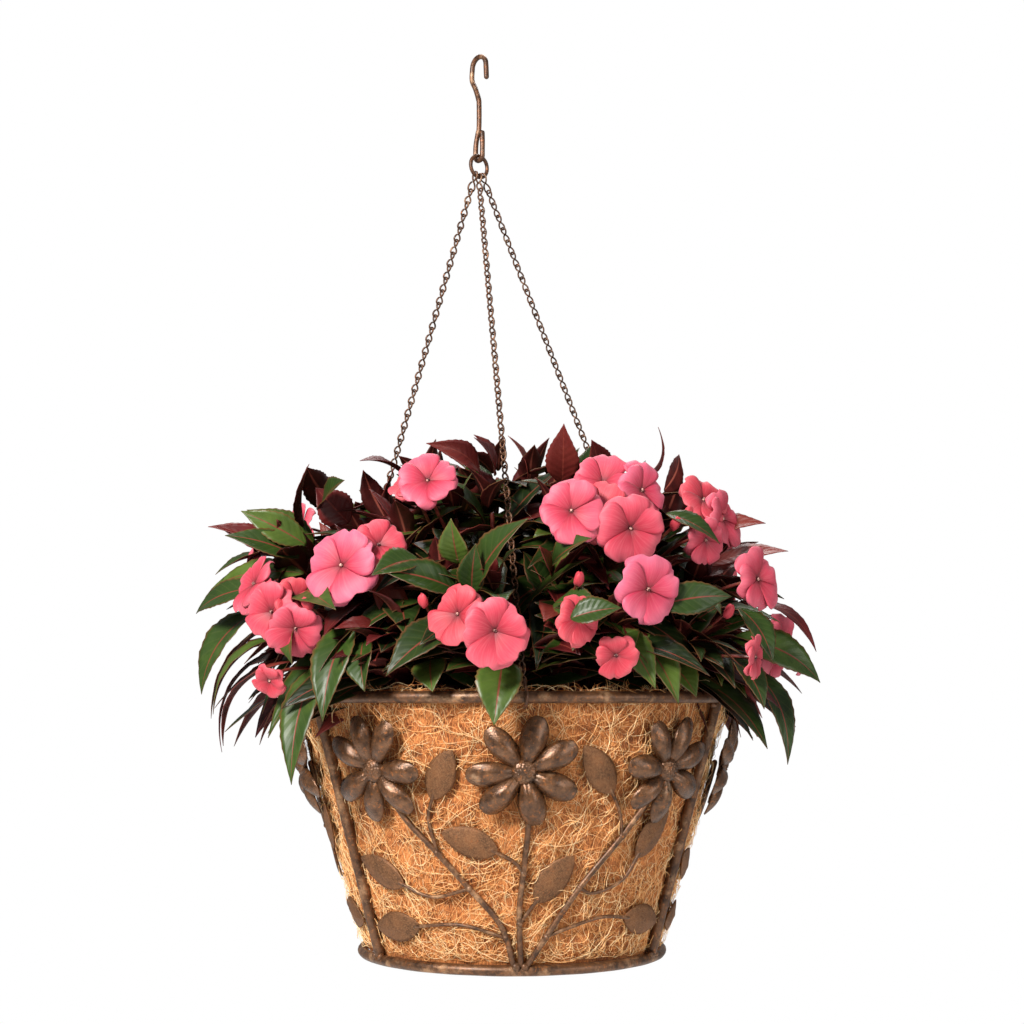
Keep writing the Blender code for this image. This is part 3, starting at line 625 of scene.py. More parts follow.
def wire_on_cone(marks, wire, middle, seed):
    """A wire through marks on the cone, its radius wavering by 4 %."""
    line = through(marks, 10)
    azimuth = middle + line[:, 0]
    share = np.linspace(0, 1, len(line))
    run = on_cone(azimuth, vine_depth(line[:, 1]), VINE_STAND_OFF)
    return bars([run], wire * (1 + 0.04 * waver(share, [3, 7, 13], seed)), cone_normal(azimuth), 10)


def stamped_leaf(base, tip, middle):
    """A leaf on the cone. s runs 0 to 1 from base to tip and t across it: half width =
    W/2 (sin pi s^.9)^.72, less a twentieth at every second tooth; it stands off by a crown
    (1 - t^2) sin pi s and a low ridge down its middle. Returns its mesh and leaf map."""
    rows = 2 * LEAF_TEETH + 1
    s = np.linspace(0.012, 0.994, rows)[:, None]
    t = np.linspace(-1, 1, 9)[None, :]
    tooth = 1 - np.where(np.arange(rows) % 2, 0.055, 0.0)[:, None]
    half = LEAF_WIDTH / 2 * np.sin(np.pi * s**0.9) ** 0.72 * (1 - (1 - tooth) * (np.abs(t) > 0.9))
    radius = cone_reach(vine_depth((base[1] + tip[1]) / 2))
    units = np.array([np.degrees(1 / radius), 1 / (VINE_FOOT - FLOWER_DEPTH)])
    run = (tip - base) / units
    side = np.array([-run[1], run[0]]) / np.hypot(*run)
    marks = base + (tip - base) * s[..., None] + (side * units) * (half * t)[..., None]
    ridge = 0.0006 * np.exp(-((t / 0.10) ** 2)) * np.minimum(1, 4 * (1 - s))
    crown = 0.0022 * (1 - t**2) * np.sin(np.pi * s) + ridge + 0.0012 * s**3
    points = on_cone(middle + marks[..., 0], vine_depth(marks[..., 1]), VINE_STAND_OFF + crown)
    chart = np.stack([s * np.hypot(*run) + 0 * t, half * t], -1)
    return (points.reshape(-1, 3), lattice(*points.shape[:2]), NO_FANS), chart.reshape(-1, 2)


for panel, middle in PANELS.items():
    for side, vine in VINES.items():
        wires = [wire_on_cone(vine["marks"], STEM_WIRE, middle, middle + len(side))]
        blades, charts = [], []
        for leaf in vine["leaves"]:
            base, tip, weld = np.array(leaf["base"]), np.array(leaf["tip"]), leaf["twig"][-1]
            marks = [base + 0.10 * (tip - base), *leaf["twig"]]
            wires.append(wire_on_cone(marks, TWIG_WIRE, middle, len(blades)))
            weld = on_cone(middle + weld[0], vine_depth(weld[1]), VINE_STAND_OFF + 0.0004)
            wires.append(bead(weld, TWIG_BEAD, len(blades)))
            blade, chart = stamped_leaf(base, tip, middle)
            blades.append(blade)
            charts.append(chart)
        piece(
            f"stems_{panel}_{side}", joined(*wires), FRAME_BRONZE, "basket",
            [f"vine_{panel}_{side}"],
        )
        blade = piece(
            f"stamped_leaves_{panel}_{side}", joined(*blades), LEAF_BRONZE, "basket",
            maps={"leaf": np.concatenate(charts)},
        )
        thickened(blade, LEAF_SHEET)

# Hook and ring
# One length of wire bent into an open hook over a long closed eye, and a round wire ring in
# the eye, both in a coppery bronze rubbed bright where they bear.

HOOK_WIRE, HOOK_TURN = 0.0024, np.radians(50)
BIGHT_RADIUS, HOOK_TIP_DROP = 0.0095, 0.0195
SHANK_TOP, SHANK_FOOT = 0.038, 0.066
EYE_FOOT, EYE_RADIUS = 0.098, 0.0047
RING_RADIUS, RING_WIRE = 0.01025, 0.0018
FIT = 0.0003
HOOK_AXIS = np.array([np.cos(HOOK_TURN), -np.sin(HOOK_TURN), 0])
RING_AXIS = np.array([np.sin(HOOK_TURN), np.cos(HOOK_TURN), 0])
RING_MIDDLE = np.array([0, 0, -EYE_FOOT + HOOK_WIRE + RING_WIRE + FIT - RING_RADIUS])
UP = np.array([0.0, 0.0, 1.0])

COPPER = bronze(
    "copper_wire", (0.040, 0.018, 0.009), (0.150, 0.064, 0.030), (0.46, 0.28, 0.17),
    (0.40, 0.13, 0.040), 0.56, 1500,
)


def arc(s, z, radius, start, stop, steps):
    """Points (s, z) round a centre, the angles in degrees from +s towards +z."""
    turn = np.radians(np.linspace(start, stop, steps + 1))
    return np.stack([s + radius * np.cos(turn), z + radius * np.sin(turn)], -1)


bend, eye = (SHANK_TOP + BIGHT_RADIUS) / 2, EYE_RADIUS - EYE_FOOT
hook_marks = [
    (1.08 * BIGHT_RADIUS, -HOOK_TIP_DROP),
    *arc(0, HOOK_WIRE - BIGHT_RADIUS, BIGHT_RADIUS, 0, 180, 8),
    (-1.05 * BIGHT_RADIUS, -0.75 * bend),
    (-0.55 * BIGHT_RADIUS, -1.15 * bend),
    (-0.1 * BIGHT_RADIUS, -SHANK_TOP),
    (0, -SHANK_TOP - 0.006),
    (0, -SHANK_FOOT),
    (-0.35 * EYE_RADIUS, -SHANK_FOOT - 0.006),
    (-0.9 * EYE_RADIUS, eye + 0.011),
    *arc(0, eye, EYE_RADIUS, 180, 360, 8),
    (1.02 * EYE_RADIUS, eye + 0.011),
    (0.95 * EYE_RADIUS, -SHANK_FOOT - 0.006),
]
line = through(hook_marks, 8)
line = line[:, :1] * HOOK_AXIS + line[:, 1:] * UP
wire = HOOK_WIRE * (1 + 0.035 * waver(np.linspace(0, 1, len(line)), [5, 11, 19], 3))
piece("wire_hook", bars([line], wire, RING_AXIS, 14), COPPER, "hook", ["hook"])
share = np.arange(72) / 72
turn = 2 * np.pi * share[:, None]
line = RING_MIDDLE + RING_RADIUS * (np.cos(turn) * RING_AXIS + np.sin(turn) * UP)
wire = RING_WIRE * (1 + 0.03 * waver(share, [3, 8], 4))
piece("wire_ring", bars([line], wire, HOOK_AXIS, 12, loop=True), COPPER, "ring", ["ring"])

# Chains
# Three runs of jack chain: each link is one wire bent into two teardrop eyes, square to one
# another. The top links ride with the basket and rock on the ring; each run below them turns
# with the small open hook that holds the rim.

LINK_WIRE, LINK_LENGTH, LINK_WIDTH = 0.000875, 0.0160, 0.0080
RING_EYE_HALF = 1.06 * 2.6 * RING_WIRE - LINK_WIRE
LINK_HALF = LINK_WIDTH / 2 - LINK_WIRE
LINK_PITCH = 0.0123
LINK_PLACES = {"left": -28, "front": 0, "right": 28}
RUN_START = 0.01483  # from the seat on the ring to where the run turns below its top link
RUN_SLACK = 0.00045
RUN_EYE_HALF = 1.15 * LINK_HALF
RIM_HOOK_WIRE, RIM_HOOK_CLEAR, RIM_HOOK_LIP, RIM_HOOK_EYE = 0.0015, 0.0004, 0.004, 0.0145
LINK_SIDES, LINK_STEPS = 6, 19



def chain_frame(name):
    """A chain's seat on the ring, its end at the rim, and its unit vectors: along it, out and
    square to it in its upright plane, and the ring's own direction at the seat."""
    turn = np.radians(LINK_PLACES[name])
    seat = RING_MIDDLE + RING_RADIUS * (RING_AXIS * np.sin(turn) - UP * np.cos(turn))
    end = on_cone(PANELS[name], 0)
    along = unit(end - seat)
    level = unit(along * [1, 1, 0])
    out = unit(level - along * (level @ along))
    return seat, end, along, out, RING_AXIS * np.cos(turn) + UP * np.sin(turn)


def links(crowns, along, first, second, halves, length=LINK_LENGTH):
    """Jack-chain links from their top crowns down. With f running round an eye, each eye is
    the teardrop sideways = 1.13 h sin f sin^.55 (f / 2), down = d (1 - cos f) / 2 from the waist;
    the first lies in one plane and the second in the other. The wire crosses at the waist, where
    its two ends step aside."""
    reach, end = length / 2 - LINK_WIRE, LINK_STEPS // 2
    f = np.linspace(0.55, 2 * np.pi, LINK_STEPS)[:, None]
    side = 1.13 * np.sin(f) * np.abs(np.sin(f / 2)) ** 0.55
    down = along * reach * (1 - np.cos(f)) / 2
    upper = first * halves[0] * side - down
    lower = (down - second * halves[1] * side)[-2::-1]
    shape = np.vstack([upper, lower])
    aside = LINK_WIRE * 0.9 * np.linspace(1, 0, end)[:, None] ** 2
    shape[:end] += second * aside
    shape[-end:] += first * aside[::-1]
    paths = (crowns + along * reach)[:, None] + shape[None]
    return bars(paths, LINK_WIRE, unit(first + second + 0.01 * along), LINK_SIDES, domes=(50,))


hold = RIM_ROD / np.cos(np.pi / 8) + RIM_HOOK_WIRE + RIM_HOOK_CLEAR
rim_hook_marks = [  # (out, along the chain) from the rim's centre
    (-0.0026, 0.0032 - RIM_HOOK_EYE),
    (-0.0014, 0.0006 - RIM_HOOK_EYE),
    (0.0012, -RIM_HOOK_EYE),
    (0.0030, 0.0022 - RIM_HOOK_EYE),
    (0.62 * hold, -1.25 * hold),
    (0.93 * hold, -0.62 * hold),
    *arc(0, 0, hold, 0, 90, 5),
    (-RIM_HOOK_LIP, hold),
]
rise = RING_WIRE + LINK_WIRE + 2 * FIT
for name in PANELS:
    seat, end, along, out, seat_axis = chain_frame(name)
    across = unit(seat_axis - along * (seat_axis @ along))
    planes = along, np.cross(across, along), across
    length = RUN_START + RUN_SLACK + rise + 3 * LINK_WIRE
    top = links(seat[None] - along * rise, *planes, (RING_EYE_HALF, RUN_EYE_HALF), length)
    piece(f"top_jack_link_{name}", top, COPPER, "basket", [f"top_link_{name}"])
    first = RUN_START - RUN_SLACK - LINK_WIRE
    last = np.linalg.norm(end - seat) - RIM_HOOK_EYE + RIM_HOOK_WIRE + FIT - LINK_LENGTH + 3 * LINK_WIRE
    count = int(round((last - first) / LINK_PITCH)) + 1
    crowns = seat + along * np.linspace(first, last, count)[:, None]
    run = links(crowns, *planes, (LINK_HALF, LINK_HALF))
    piece(f"jack_links_{name}", run, COPPER, f"chain_{name}", [f"chain_{name}"])
    line = through(rim_hook_marks, 7)
    line = end + line[:, :1] * out + line[:, 1:] * along
    hook = bars([line], RIM_HOOK_WIRE, np.cross(out, along), 10)
    piece(f"rim_wire_hook_{name}", hook, COPPER, f"chain_{name}", [f"rim_hook_{name}"])

# Coir liner
# A moulded mat of coconut fibre in the frame: a springy orange-tan felt that swells a little
# between the rods, with thousands of pale stray fibres matted over its face and fringing its
# top edge.

LINER_WALL, LINER_INSET, LINER_STAND, LINER_CORNER = 0.009, 0.0058, 0.006, 0.004
LINER_FOOT = DEPTH - 0.0018
LINER_COLUMNS = 384
BULGE, PRESSED = 0.0026, 0.0006  # the mat ends this far behind the frame's cone
MATTED, LOOSE = (4700, 7), (800, 14)  # fibres to a panel, and points along each
MEAN_REACH = 0.165  # of the wall, where the felt's waves have their true length


def felt(azimuth, depth, seed=5):
    """Swelling of the felt in metres: cosines of waves 55, 24 and 10 mm long in every direction,
    with whole numbers of waves round the basket."""
    draw = np.random.default_rng(seed)
    total = np.zeros(np.broadcast(azimuth, depth).shape)
    for length, size, count in ((0.055, 0.0009, 9), (0.024, 0.0006, 12), (0.009, 0.0004, 16)):
        heading, phase = draw.uniform(0, np.pi, count), draw.uniform(0, 2 * np.pi, count)
        wave = 2 * np.pi / length
        for turn, start in zip(heading, phase):
            level = round(wave * np.cos(turn) * MEAN_REACH) * np.radians(azimuth)
            total += size / np.sqrt(count / 2) * np.cos(level + wave * np.sin(turn) * depth + start)
    return total


def felt_depth(depth, reach):
    """Depth along the mat's wall, which goes on over its lip and its bottom."""
    return depth + 0.6 * (0.16 - reach)


def bulge(azimuth):
    """How far the felt presses out between the uprights: BULGE |cos 1.5 a|, none at them."""
    return BULGE * np.abs(np.cos(np.radians(1.5 * azimuth)))


def turned_mat(profile, columns, swell):
    """A profile of (reach, depth) from the bottom's middle outwards, up, over the lip and down
    inside, carried round the axis and moved along its own normal by `swell` of the felt."""
    azimuth = np.linspace(0, 360, columns, endpoint=False)
    run = np.gradient(profile, axis=0)
    normal = unit(np.stack([-run[:, 1], -run[:, 0]], -1)) * [1, -1]
    outside = profile[:, :1] > cone_reach(profile[:, 1:]) - LINER_INSET - 0.001
    rise = felt(azimuth[None, :], felt_depth(profile[:, 1:], profile[:, :1]))
    rise = np.minimum((rise + outside * bulge(azimuth)[None]) * swell[:, None], LINER_INSET - PRESSED)
    reach = profile[:, :1] + normal[:, :1] * rise
    depth = profile[:, 1:] + normal[:, 1:] * rise
    level = AXIS + around(azimuth)[None] * reach[..., None]
    points = (level + np.stack([0 * depth, 0 * depth, RIM_Z - depth], -1)).reshape(-1, 3)
    chart = np.stack([np.radians(azimuth) * MEAN_REACH + 0 * depth, felt_depth(depth, reach)], -1).reshape(-1, 2)
    ends = np.array([[AXIS[0], AXIS[1], RIM_Z - profile[i, 1]] for i in (0, -1)])
    part = np.vstack([points, ends]), *capped(len(profile), columns)
    return part, np.vstack([chart, chart[:1], chart[-1:]])


def liner_profile():
    """Bottom, rounded foot, outer wall, half-round lip, inner wall and inner bottom."""
    foot, low = LINER_FOOT, LINER_FOOT - LINER_CORNER
    corner = cone_reach(low) - LINER_INSET - LINER_CORNER
    a = np.linspace(0, np.pi / 2, 8)[1:-1]
    half = LINER_WALL / 2
    b = np.linspace(0, np.pi, 8)
    lip_depth = half - LINER_STAND
    lip = cone_reach(lip_depth) - LINER_INSET - half
    wall = np.linspace(low, lip_depth + 0.002, 72)
    inner = np.linspace(lip_depth + 0.004, foot - LINER_WALL - 0.006, 26)
    rows = [
        np.stack([np.linspace(0.006, corner, 9), np.full(9, foot)], -1),
        np.stack([corner + LINER_CORNER * np.sin(a), low + LINER_CORNER * np.cos(a)], -1),
        np.stack([cone_reach(wall) - LINER_INSET, wall], -1),
        np.stack([lip + half * np.cos(b), lip_depth - half * np.sin(b)], -1),
        np.stack([cone_reach(inner) - LINER_INSET - LINER_WALL, inner], -1),
        np.stack([np.linspace(corner - 0.008, 0.006, 7), np.full(7, foot - LINER_WALL)], -1),
    ]
    return np.vstack(rows)


def coir_finish(name, stops, on_fibre):
    """Coir: matt, its colour from the fibre's own tint, or for the mat from streaks that cross in three directions,
    pale on the raised streaks and darkest in the low gaps between them, partly the fibres' own colour and partly
    painted shade."""
    paint, tree, shader = finish_named(name, roughness=0.78)
    place = object_place(tree)
    if on_fibre:
        grain = worked(tree, "SUBTRACT", speckle(tree, place, 260, 3), 0.5)
        share = worked(tree, "ADD", values_of(tree, "tint_and_shade"), grain)
    else:
        streaks = [
            speckle(tree, chart_of(tree, "felt"), 1.0, 3, 0.6, (1500, 170, 1), (0, 0, turn))
            for turn in (0.2, 1.25, 2.3)
        ]
        share = worked(tree, "MAXIMUM", worked(tree, "MAXIMUM", *streaks[:2]), streaks[2])
        relief(tree, shader, share, 0.0022, 1.0)
        patch = worked(tree, "MULTIPLY_ADD", speckle(tree, place, 55, 4), 0.35, -0.16)
        share = worked(tree, "ADD", share, patch)
    tree.links.new(blend_of(tree, share, *stops), shader.inputs["Base Color"])
    return paint


# Mat colours from the low gaps to the raised streaks; the dark browns in the gaps are partly the mat's own colour
# and partly painted shade.
MAT_COLOURS_AND_GAP_SHADE = [
    (0.47, (0.11, 0.028, 0.006)), (0.57, (0.46, 0.145, 0.034)),
    (0.67, (0.76, 0.295, 0.082)), (0.80, (0.92, 0.500, 0.200)),
]
FIBRE_COLOURS = [
    (0.02, (0.26, 0.070, 0.015)), (0.30, (0.70, 0.260, 0.068)),
    (0.65, (0.92, 0.490, 0.180)), (1.0, (0.97, 0.76, 0.44)),
]
MAT_COIR = coir_finish("coir_mat", MAT_COLOURS_AND_GAP_SHADE, False)
FIBRE_COIR = coir_finish("coir_fibre", FIBRE_COLOURS, True)
profile = liner_profile()
swell = np.interp(profile[:, 1], [-0.006, 0.010, LINER_FOOT - 0.02, LINER_FOOT], [0.35, 1.0, 1.0, 0.25])
part, chart = turned_mat(profile, LINER_COLUMNS, swell)
piece("coir_mat", part, MAT_COIR, "basket", ["coir_liner"], {"felt": chart})


def fibres(panel, count, steps, loose, seed):
    """Fibres on the felt. Each starts at a chance place and heading, and its heading turns
    evenly and wavers as it runs; it lies on the felt under a low arch, or arches clear of it
    where it is loose. Returns the part and each point's tint."""
    draw = np.random.default_rng(seed)
    s = np.linspace(0, 1, steps)
    long = draw.gamma(4.0, 0.012 if loose else 0.0062, count).clip(0.010, 0.090)
    bend = draw.normal(0, 1.6 if loose else 0.9, count)[:, None] * s
    heading = draw.uniform(0, 2 * np.pi, count)[:, None] + bend
    sway = draw.normal(0, 0.6, count)[:, None]
    heading += sway * np.sin(2 * np.pi * s * draw.uniform(0.6, 1.8, count)[:, None])
    step = long[:, None] / (steps - 1)
    sideways = np.cumsum(np.cos(heading) * step, 1)
    down = np.cumsum(np.sin(heading) * step, 1) + draw.uniform(-0.008, 0.223, count)[:, None]
    down += np.maximum(0, -0.0065 - draw.gamma(1.4, 0.0018, count) - down.min(1))[:, None]
    down -= np.maximum(0, down.max(1) - 0.2175)[:, None]
    azimuth = PANELS[panel] + draw.uniform(-60, 60, count)[:, None] + np.degrees(sideways / cone_reach(down))
    lift = draw.uniform(*((0.0012, 0.0060) if loose else (0.0001, 0.0011)), count)[:, None]
    height = felt(azimuth, felt_depth(down, cone_reach(down))) + bulge(azimuth) - LINER_INSET
    height = np.minimum(height, -PRESSED) + lift * np.sin(np.pi * s) ** 0.8
    line = on_cone(azimuth, down, np.minimum(height, 0.0022 if loose else 0.0002))
    radius = draw.uniform(0.00016, 0.00030, count)[:, None] * (1 - 0.5 * s**3)
    tint_and_shade = draw.uniform(0.55, 1.0, count) if loose else draw.beta(1.1, 1.2, count)
    return bars(line, radius, cone_normal(azimuth), 3, domes=()), np.repeat(tint_and_shade, steps * 3 + 2)


for number, panel in enumerate(PANELS):
    for kind, amount, loose, seed in (("fibres", MATTED, False, 100), ("strays", LOOSE, True, 200)):
        part, tint_and_shade = fibres(panel, *amount, loose, seed + number)
        piece(f"coir_{kind}_{panel}", part, FIBRE_COIR, "basket", maps={"tint_and_shade": tint_and_shade})

# Potting mix
# Dark peaty compost with pale perlite, poured into the liner to just below the rim, lumpy on
# top and flat underneath.

SOIL_DROP, SOIL_REACH = 0.028, 0.1765
SOIL_DEPTH = 0.012
SOIL_RINGS, SOIL_COLUMNS = 30, 120
SOIL, tree, shader = finish_named("peat", roughness=0.95)
place = object_place(tree)
peat = speckle(tree, place, 220, 6, 0.75)
tone = blend_of(tree, peat, (0.35, (0.010, 0.006, 0.004)), (0.65, (0.060, 0.034, 0.020)))
perlite = grey_of(tree, speckle(tree, place, 330, 1, 0.4), (0.70, 0.0), (0.73, 1.0))
tree.links.new(mixed(tree, perlite, tone, (0.62, 0.58, 0.52)), shader.inputs["Base Color"])
relief(tree, shader, speckle(tree, place, 420, 6, 0.75), 0.004, 1.0)
out = np.linspace(0.01, 1, SOIL_RINGS)
azimuth = np.linspace(0, 360, SOIL_COLUMNS, endpoint=False)
lumps = felt(azimuth[None, :], 0.3 * out[:, None], 9) * 2.2
reach = SOIL_REACH * np.concatenate([out, out[::-1] * 0.985])
top, foot = RIM_Z - SOIL_DROP, RIM_Z - SOIL_DROP - SOIL_DEPTH
height = np.concatenate([top + lumps * np.minimum(1, 8 * (1 - out))[:, None], foot + 0 * lumps])
bed = AXIS + around(azimuth)[None] * reach[:, None, None] + height[..., None] * UP
poles = [[*AXIS[:2], top + lumps[0].mean()], [*AXIS[:2], foot]]
part = np.vstack([bed.reshape(-1, 3), poles]), *capped(*height.shape, turned=True)
piece("compost", part, SOIL, "basket", ["potting_mix"])

# Impatiens
# Three New Guinea impatiens fill the basket. Red stems carry whorls of long pointed, toothed
# leaves, glossy green over red midribs and maroon beneath, and broad five-petalled coral
# blooms stand over them. The leaves keep clear of the planes in which the chains swing out.

SECTORS = {"right": (4, 116), "back": (124, 236), "left": (244, 356)}
SLOT = 0.0075
REACH_LIMIT = 0.286
HIGHEST, LOWEST = 0.246, -0.115
COMMON_GRID, SHOWN_GRID = (13, 5), (25, 7)
BLADE_SHEET, PETAL_THICK = 0.00045, 0.0005
MIDDLE = AXIS + [-0.006, 0, RIM_Z]

# Leaf greens; the near-black dark end is dark leaf colour and also painted shade on the filler leaves inside the
# plants.
LEAF_GREENS_AND_SHADE = (0.30, (0.005, 0.012, 0.002)), (0.70, (0.024, 0.050, 0.007)), (1.0, (0.080, 0.125, 0.018))
MAROONS = (0.25, (0.030, 0.002, 0.003)), (0.60, (0.095, 0.009, 0.009)), (1.0, (0.18, 0.030, 0.020))
STEM_REDS = (0.3, (0.055, 0.010, 0.008)), (0.55, (0.19, 0.030, 0.022)), (0.75, (0.12, 0.10, 0.030))
PALE_CORALS = [
    (0.05, (0.12, 0.000, 0.005)), (0.22, (0.35, 0.007, 0.036)),
    (0.52, (0.50, 0.037, 0.090)), (1.0, (0.60, 0.125, 0.208)),
]
# Deep coral-red: partly the blooms' own colour and partly painted shade for blooms that sit in shade.
DEEP_AND_SHADED_CORALS = [
    (0.05, (0.09, 0.000, 0.004)), (0.28, (0.32, 0.004, 0.015)),
    (0.66, (0.49, 0.022, 0.038)), (1.0, (0.59, 0.076, 0.086)),
]


def blade_places(tree):
    """Two values over a leaf: 0 to 1 along it, and 0 at the midrib to 0.5 at the edge."""
    parted = node(tree, "SeparateXYZ", {0: chart_of(tree, "blade")})
    return parted.outputs[0], worked(tree, "ABSOLUTE", worked(tree, "SUBTRACT", parted.outputs[1], 0.5))


LEAF_GREEN, tree, shader = finish_named(
    "leaf_green", roughness=0.42, Specular_IOR_Level=0.28, Coat_Weight=0.05, Coat_Roughness=0.22
)
run, edge = blade_places(tree)
curve = worked(tree, "MULTIPLY_ADD", edge, -3.6, worked(tree, "MULTIPLY", run, 9.0))
vein = worked(tree, "ABSOLUTE", worked(tree, "SUBTRACT", worked(tree, "FRACT", curve), 0.5))
patch = speckle(tree, object_place(tree), 45, 4)
# The per-leaf tint shifts the greens: random tone, and on the filler leaves a dark draw that is painted shade.
patch = worked(tree, "MULTIPLY_ADD", patch, 0.5, values_of(tree, "tint_and_shade"))
green = blend_of(tree, patch, *LEAF_GREENS_AND_SHADE)
green = mixed(tree, grey_of(tree, vein, (0.38, 0.0), (0.5, 0.14)), green, (0.10, 0.11, 0.03))
rim_red = grey_of(tree, edge, (0.43, 0.0), (0.5, 0.7))
green = mixed(tree, rim_red, green, (0.14, 0.045, 0.018))
midrib = grey_of(tree, edge, (0.012, 0.85), (0.032, 0.0))
green = mixed(tree, values_of(tree, "young"), green, blend_of(tree, patch, *MAROONS))
green = mixed(tree, midrib, green, (0.19, 0.032, 0.022))
tree.links.new(green, shader.inputs["Base Color"])
quilt = grey_of(tree, vein, (0.0, 1.0), (0.5, 0.0))
relief(tree, shader, worked(tree, "MULTIPLY_ADD", midrib, -0.8, quilt), 0.0006, 0.28)

LEAF_MAROON, tree, shader = finish_named("leaf_maroon", roughness=0.45, Specular_IOR_Level=0.3)
place = object_place(tree)
edge = blade_places(tree)[1]
patch = speckle(tree, place, 60, 5)
maroon = blend_of(tree, patch, (0.3, (0.022, 0.003, 0.003)), (0.7, (0.085, 0.012, 0.010)))
maroon = mixed(tree, grey_of(tree, edge, (0.02, 1.0), (0.06, 0.0)), maroon, (0.26, 0.065, 0.045))
tree.links.new(maroon, shader.inputs["Base Color"])
relief(tree, shader, speckle(tree, place, 700, 3), 0.0004, 0.5)

STEM_RED, tree, shader = finish_named("stem_red", roughness=0.4)
red = blend_of(tree, speckle(tree, object_place(tree), 90, 4), *STEM_REDS)
tree.links.new(red, shader.inputs["Base Color"])

PETAL_CORAL, tree, shader = finish_named("petal_coral", roughness=0.6, Sheen_Weight=0.05)
shader.inputs["Subsurface Weight"].default_value = 0.12
shader.inputs["Subsurface Radius"].default_value = (0.006, 0.002, 0.002)
outwards = node(tree, "SeparateXYZ", {0: chart_of(tree, "petal")}).outputs[0]
pale, deep_and_shaded = (blend_of(tree, outwards, *stops) for stops in (PALE_CORALS, DEEP_AND_SHADED_CORALS))
# Each bloom's tint mixes pale and deep coral: partly its own colour and partly painted shade.
coral = mixed(tree, values_of(tree, "tint_and_shade"), pale, deep_and_shaded)
rays = speckle(tree, chart_of(tree, "petal"), 1.0, 3, 0.6, (1.6, 26, 1))
coral = mixed(tree, grey_of(tree, rays, (0.45, 0.0), (0.80, 0.22)), coral, (0.80, 0.24, 0.28))
tree.links.new(coral, shader.inputs["Base Color"])
relief(tree, shader, rays, 0.0004, 0.25)

EYE_WHITE, tree, shader = finish_named("stamen", roughness=0.5)
dots = speckle(tree, object_place(tree), 500, 2)
pollen = blend_of(tree, dots, (0.46, (0.05, 0.004, 0.008)), (0.60, (0.70, 0.38, 0.32)))
tree.links.new(pollen, shader.inputs["Base Color"])


def kept_clear(points):
    """How far a group of points [group, point, xyz] moves, as a whole, sideways out of each
    chain's plane of swing, where it is outside the chain and within its length."""
    total = np.zeros((len(points), 3))
    for name in PANELS:
        seat, end, along, out, _ = chain_frame(name)
        square = np.cross(along, out)
        from_seat = points + total[:, None] - seat
        apart = from_seat @ square
        far = np.linalg.norm(from_seat, axis=-1)
        within = (from_seat @ out > -0.009) & (far < np.linalg.norm(end - seat) + 0.02)
        side = np.where(apart.mean(1) < 0, -1.0, 1.0)
        gap = np.where(within, apart * side[:, None], 1.0).min(1)
        total += (side * np.maximum(0, SLOT - gap))[:, None] * square
    return total


def blades(base, tip, facing, bow, width, fold, twist, rows, columns):
    """Leaves [leaf, along, across]. The midrib is base + (tip - base) s, arched by
    4 s (1 - s) bow towards `facing`; half width = w/2 sin(pi s^.8)^1.15 with small teeth; each
    side of the midrib lifts by fold times its width, and the blade twists as it runs."""
    s = np.linspace(0.015, 0.997, rows)[None, :, None, None]
    t = np.linspace(-1, 1, columns)[None, None, :, None]
    run = tip - base
    long = np.linalg.norm(run, axis=-1)[:, None, None, None]
    ahead = unit(run)
    n = unit(facing - ahead * (facing * ahead).sum(-1, keepdims=True))
    side = np.cross(ahead, n)
    ahead, n, side = (v[:, None, None, :] for v in (ahead, n, side))
    bow, width, fold, twist = (v[:, None, None, None] for v in (bow, width, fold, twist))
    middle = base[:, None, None] + run[:, None, None] * s + n * bow * long * 4 * s * (1 - s)
    tangent = unit(ahead + n * bow * 4 * (1 - 2 * s))
    normal = np.cross(side, tangent)
    across = side * np.cos(twist * s) + normal * np.sin(twist * s)
    lift = normal * np.cos(twist * s) - side * np.sin(twist * s)
    tooth = np.where(np.arange(rows) % 2, 0.94, 1.0)[None, :, None, None]
    half = width / 2 * np.sin(np.pi * s**0.8) ** 1.15 * np.where(np.abs(t) > 0.95, tooth, 1.0)
    ripple = 0.03 * np.sin(2 * np.pi * (4.5 * s - 0.9 * np.abs(t))) * np.abs(t)
    points = middle + across * half * t + lift * half * (fold * np.abs(t) ** 1.2 + ripple)
    chart = np.concatenate([s + 0 * t, 0 * s + (t + 1) / 2], -1).reshape(-1, 2)
    return points.reshape(len(base), -1, 3), np.tile(chart, (len(base), 1))


def spot(azimuth, height, reach):
    """A place among the plants: azimuth, height over the rim and reach from the basket's axis."""
    height, reach = (np.asarray(v)[..., None] for v in (height, reach))
    return AXIS + around(azimuth) * reach + height * UP + [0, 0, RIM_Z]


def bent(start, middle, end, count):
    """A line that leaves `start` for `middle` and turns to `end`."""
    share = np.linspace(0, 1, count)[:, None]
    return start * (1 - share) ** 2 + middle * 2 * share * (1 - share) + end * share**2


